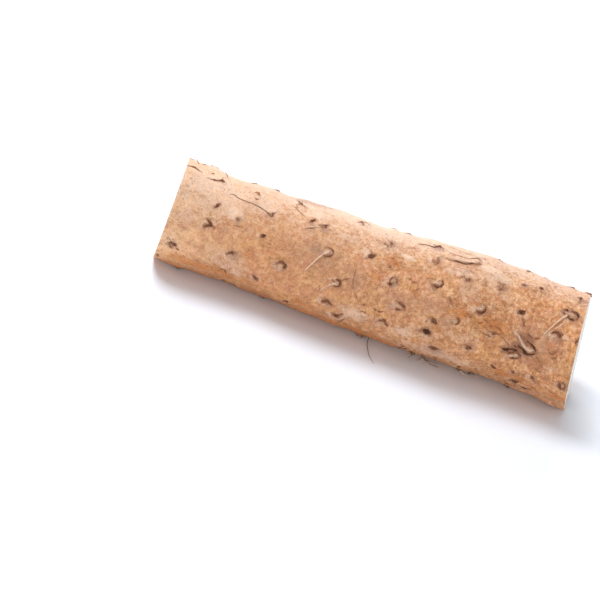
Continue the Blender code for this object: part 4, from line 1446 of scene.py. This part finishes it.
class YAM_OT_hairs(bpy.types.Operator):
    """Fine hairs that curl over the skin"""

    bl_idname = "yam.hairs"
    bl_label = "Fine hairs"

    def execute(self, context):
        colours = context.scene.yam_colours
        sizes = context.scene.yam_sizes
        tree = skin_tree()
        curve = strand_curve("fine_hairs", 0)
        for thickness, points in SEEN_HAIRS:
            add_strand(curve, tree, seen_route(points), thickness, 0.5, 12)
        draw = random.Random(HAIR_SEED)
        roots = [s for s in SCARS if s.kind != "speck"]
        for _ in range(sizes.hair_count):
            scar = draw.choice(roots)
            length = draw.uniform(2.0, 7.5)
            heading = draw.uniform(0, 2 * math.pi)
            curl = draw.uniform(-1.2, 1.2)
            lift = draw.choice((0.15, 0.15, 0.3, 1.0))
            route = []
            along, degrees = scar.along, scar.degrees
            for step in range(6):
                height = lift * math.sin(math.pi * step / 6) + (0.0 if step else -0.2)
                route.append((along, degrees, height))
                along += math.cos(heading) * length / 5
                degrees += math.degrees(math.sin(heading) * length / 5 / MEAN_RADIUS)
                heading += curl * 0.4 + draw.uniform(-0.35, 0.35)
            inside = all(1.5 < place[0] < MIDDLE_LENGTH - 6 for place in route)
            low = any(abs(place[1] - STRAIGHT_DOWN) < RESTING_HALF for place in route)
            if inside and not low:
                thickness = sizes.hair_thickness / MM * draw.uniform(0.6, 1.2)
                add_strand(curve, tree, route, thickness, 0.4, 10)
        strand_piece("fine_hairs", curve, root_material(
            "hair", colours.hair, colours.hair_streak, 0.5))
        return {"FINISHED"}


# The photograph's view: a pixel in millimetres, the middle of the yam's left end in pixels,
# how far the yam's line slopes down to the right, and the camera's height over the level
PHOTO_SIZE = 600
PIXEL = 0.5
LEFT_END = (171.3, 211.8)
IMAGE_SLOPE = 20.14
CAMERA_ELEVATION = 31.0
CAMERA_DISTANCE = 3.0
SENSOR_WIDTH = 36.0

# The left end's pixel: its place along the piece, up the camera's plane from the floor, and
# towards the camera
LEFT_END_ALONG = 0.75
LEFT_END_HEIGHT = 19.94
LEFT_END_NEARER = 14

# Studio: reach of the floor in metres and its drop in millimetres, strength of the even light
# round it, and each lamp's name, direction, distance, size, power and colour
FLOOR_REACH = 6.0
FLOOR_DROP = 0.1
SURROUNDINGS = 0.46
LAMPS = (
    ("key", (-0.38, 0.2, 0.8), 0.85, 0.5, 7.0, (0.93, 0.96, 1.0)),
    ("side", (1.0, -0.2, 0.3), 1.2, 0.5, 2.8, (1.0, 0.97, 0.93)),
    ("back", (-0.25, 1.0, 0.5), 1.3, 0.7, 12, (0.95, 0.975, 1.0)),
    ("front", (-0.4, -1.0, 0.3), 1.6, 0.9, 8.8, (1.0, 0.96, 0.90)),
)
LAMP_AIM = (0, 0, 0.03)     # the middle of the yam, in metres


def camera_axes():
    """Unrolled axes of the camera: right, up and back towards it."""
    elevation = math.radians(CAMERA_ELEVATION)
    up = Vector((0, math.sin(elevation), math.cos(elevation)))
    back = Vector((0, -math.cos(elevation), math.sin(elevation)))
    return Vector((1, 0, 0)), up, back


def add_camera():
    """Camera at the photograph's viewing angle, rolled so that the yam slopes as it does there."""
    right, up, back = camera_axes()
    slope = math.radians(IMAGE_SLOPE)
    image_right = right * math.cos(slope) + up * math.sin(slope)
    image_up = up * math.cos(slope) - right * math.sin(slope)
    left_end = (
        Vector((LEFT_END_ALONG + SHIFT[0], 0, 0)) + up * LEFT_END_HEIGHT + back * LEFT_END_NEARER)
    across = (PHOTO_SIZE / 2 - LEFT_END[0]) * PIXEL
    down = (PHOTO_SIZE / 2 - LEFT_END[1]) * PIXEL
    aim = (left_end + image_right * across - image_up * down) * MM
    data = bpy.data.cameras.new("camera")
    data.sensor_width = SENSOR_WIDTH
    data.lens = SENSOR_WIDTH * CAMERA_DISTANCE / (PHOTO_SIZE * PIXEL * MM)
    data.clip_start = 0.1
    data.clip_end = 50
    camera = bpy.data.objects.new("camera", data)
    turn = Matrix((image_right, image_up, back)).transposed().to_4x4()
    camera.matrix_world = Matrix.Translation(aim + back * CAMERA_DISTANCE) @ turn
    bpy.context.scene.collection.objects.link(camera)
    bpy.context.scene.camera = camera


def add_area_light(name, direction, distance, size, power, colour):
    """Square soft light that looks at the yam from a direction."""
    data = bpy.data.lights.new(name, "AREA")
    data.shape = "SQUARE"
    data.size = size
    data.energy = power
    data.color = colour
    light = bpy.data.objects.new(name, data)
    direction = Vector(direction).normalized()
    turn = direction.to_track_quat("Z", "Y").to_matrix().to_4x4()
    light.matrix_world = Matrix.Translation(direction * distance + Vector(LAMP_AIM)) @ turn
    bpy.context.scene.collection.objects.link(light)


def add_world(strength):
    """Even white surroundings."""
    world = bpy.data.worlds.new("studio")
    world.use_nodes = True
    background = world.node_tree.nodes["Background"]
    background.inputs["Color"].default_value = (0.95, 0.955, 1.0, 1.0)
    background.inputs["Strength"].default_value = strength
    bpy.context.scene.world = world


class YAM_OT_stage(bpy.types.Operator):
    """Pale floor, soft lights and the camera"""

    bl_idname = "yam.stage"
    bl_label = "Studio"

    def execute(self, context):
        shape = bmesh.new()
        bmesh.ops.create_grid(shape, x_segments=8, y_segments=8, size=FLOOR_REACH)
        bmesh.ops.translate(shape, vec=(0, 0, -FLOOR_DROP * MM), verts=shape.verts)
        mesh = bpy.data.meshes.new("studio_floor")
        shape.to_mesh(mesh)
        shape.free()
        floor = bpy.data.objects.new("studio_floor", mesh)
        mesh.materials.append(floor_material(context.scene.yam_colours))
        context.scene.collection.objects.link(floor)
        add_world(SURROUNDINGS)
        for lamp in LAMPS:
            add_area_light(*lamp)
        add_camera()
        context.scene.view_settings.view_transform = "Standard"
        return {"FINISHED"}


class YAM_PT_panel(bpy.types.Panel):
    """Buttons and settings of the yam"""

    bl_label = "Chinese yam"
    bl_idname = "YAM_PT_panel"
    bl_space_type = "VIEW_3D"
    bl_region_type = "UI"
    bl_category = "Yam"

    def draw(self, context):
        for operator in OPERATORS:
            self.layout.operator(operator.bl_idname)
        for group in (context.scene.yam_sizes, context.scene.yam_colours):
            for key in group.__annotations__:
                self.layout.prop(group, key)


OPERATORS = (
    YAM_OT_tuber, YAM_OT_scars, YAM_OT_strokes, YAM_OT_rootlets, YAM_OT_hairs, YAM_OT_stage,
)
CLASSES = (YamColours, YamSizes, *OPERATORS, YAM_PT_panel)


def register():
    for item in CLASSES:
        bpy.utils.register_class(item)
    bpy.types.Scene.yam_colours = PointerProperty(type=YamColours)
    bpy.types.Scene.yam_sizes = PointerProperty(type=YamSizes)


def unregister():
    del bpy.types.Scene.yam_sizes
    del bpy.types.Scene.yam_colours
    for item in reversed(CLASSES):
        bpy.utils.unregister_class(item)


def main():
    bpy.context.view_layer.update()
    register()
    bpy.ops.yam.tuber()
    bpy.ops.yam.scars()
    bpy.ops.yam.strokes()
    bpy.ops.yam.rootlets()
    bpy.ops.yam.hairs()
    bpy.ops.yam.stage()


if __name__ == "__main__":
    main()
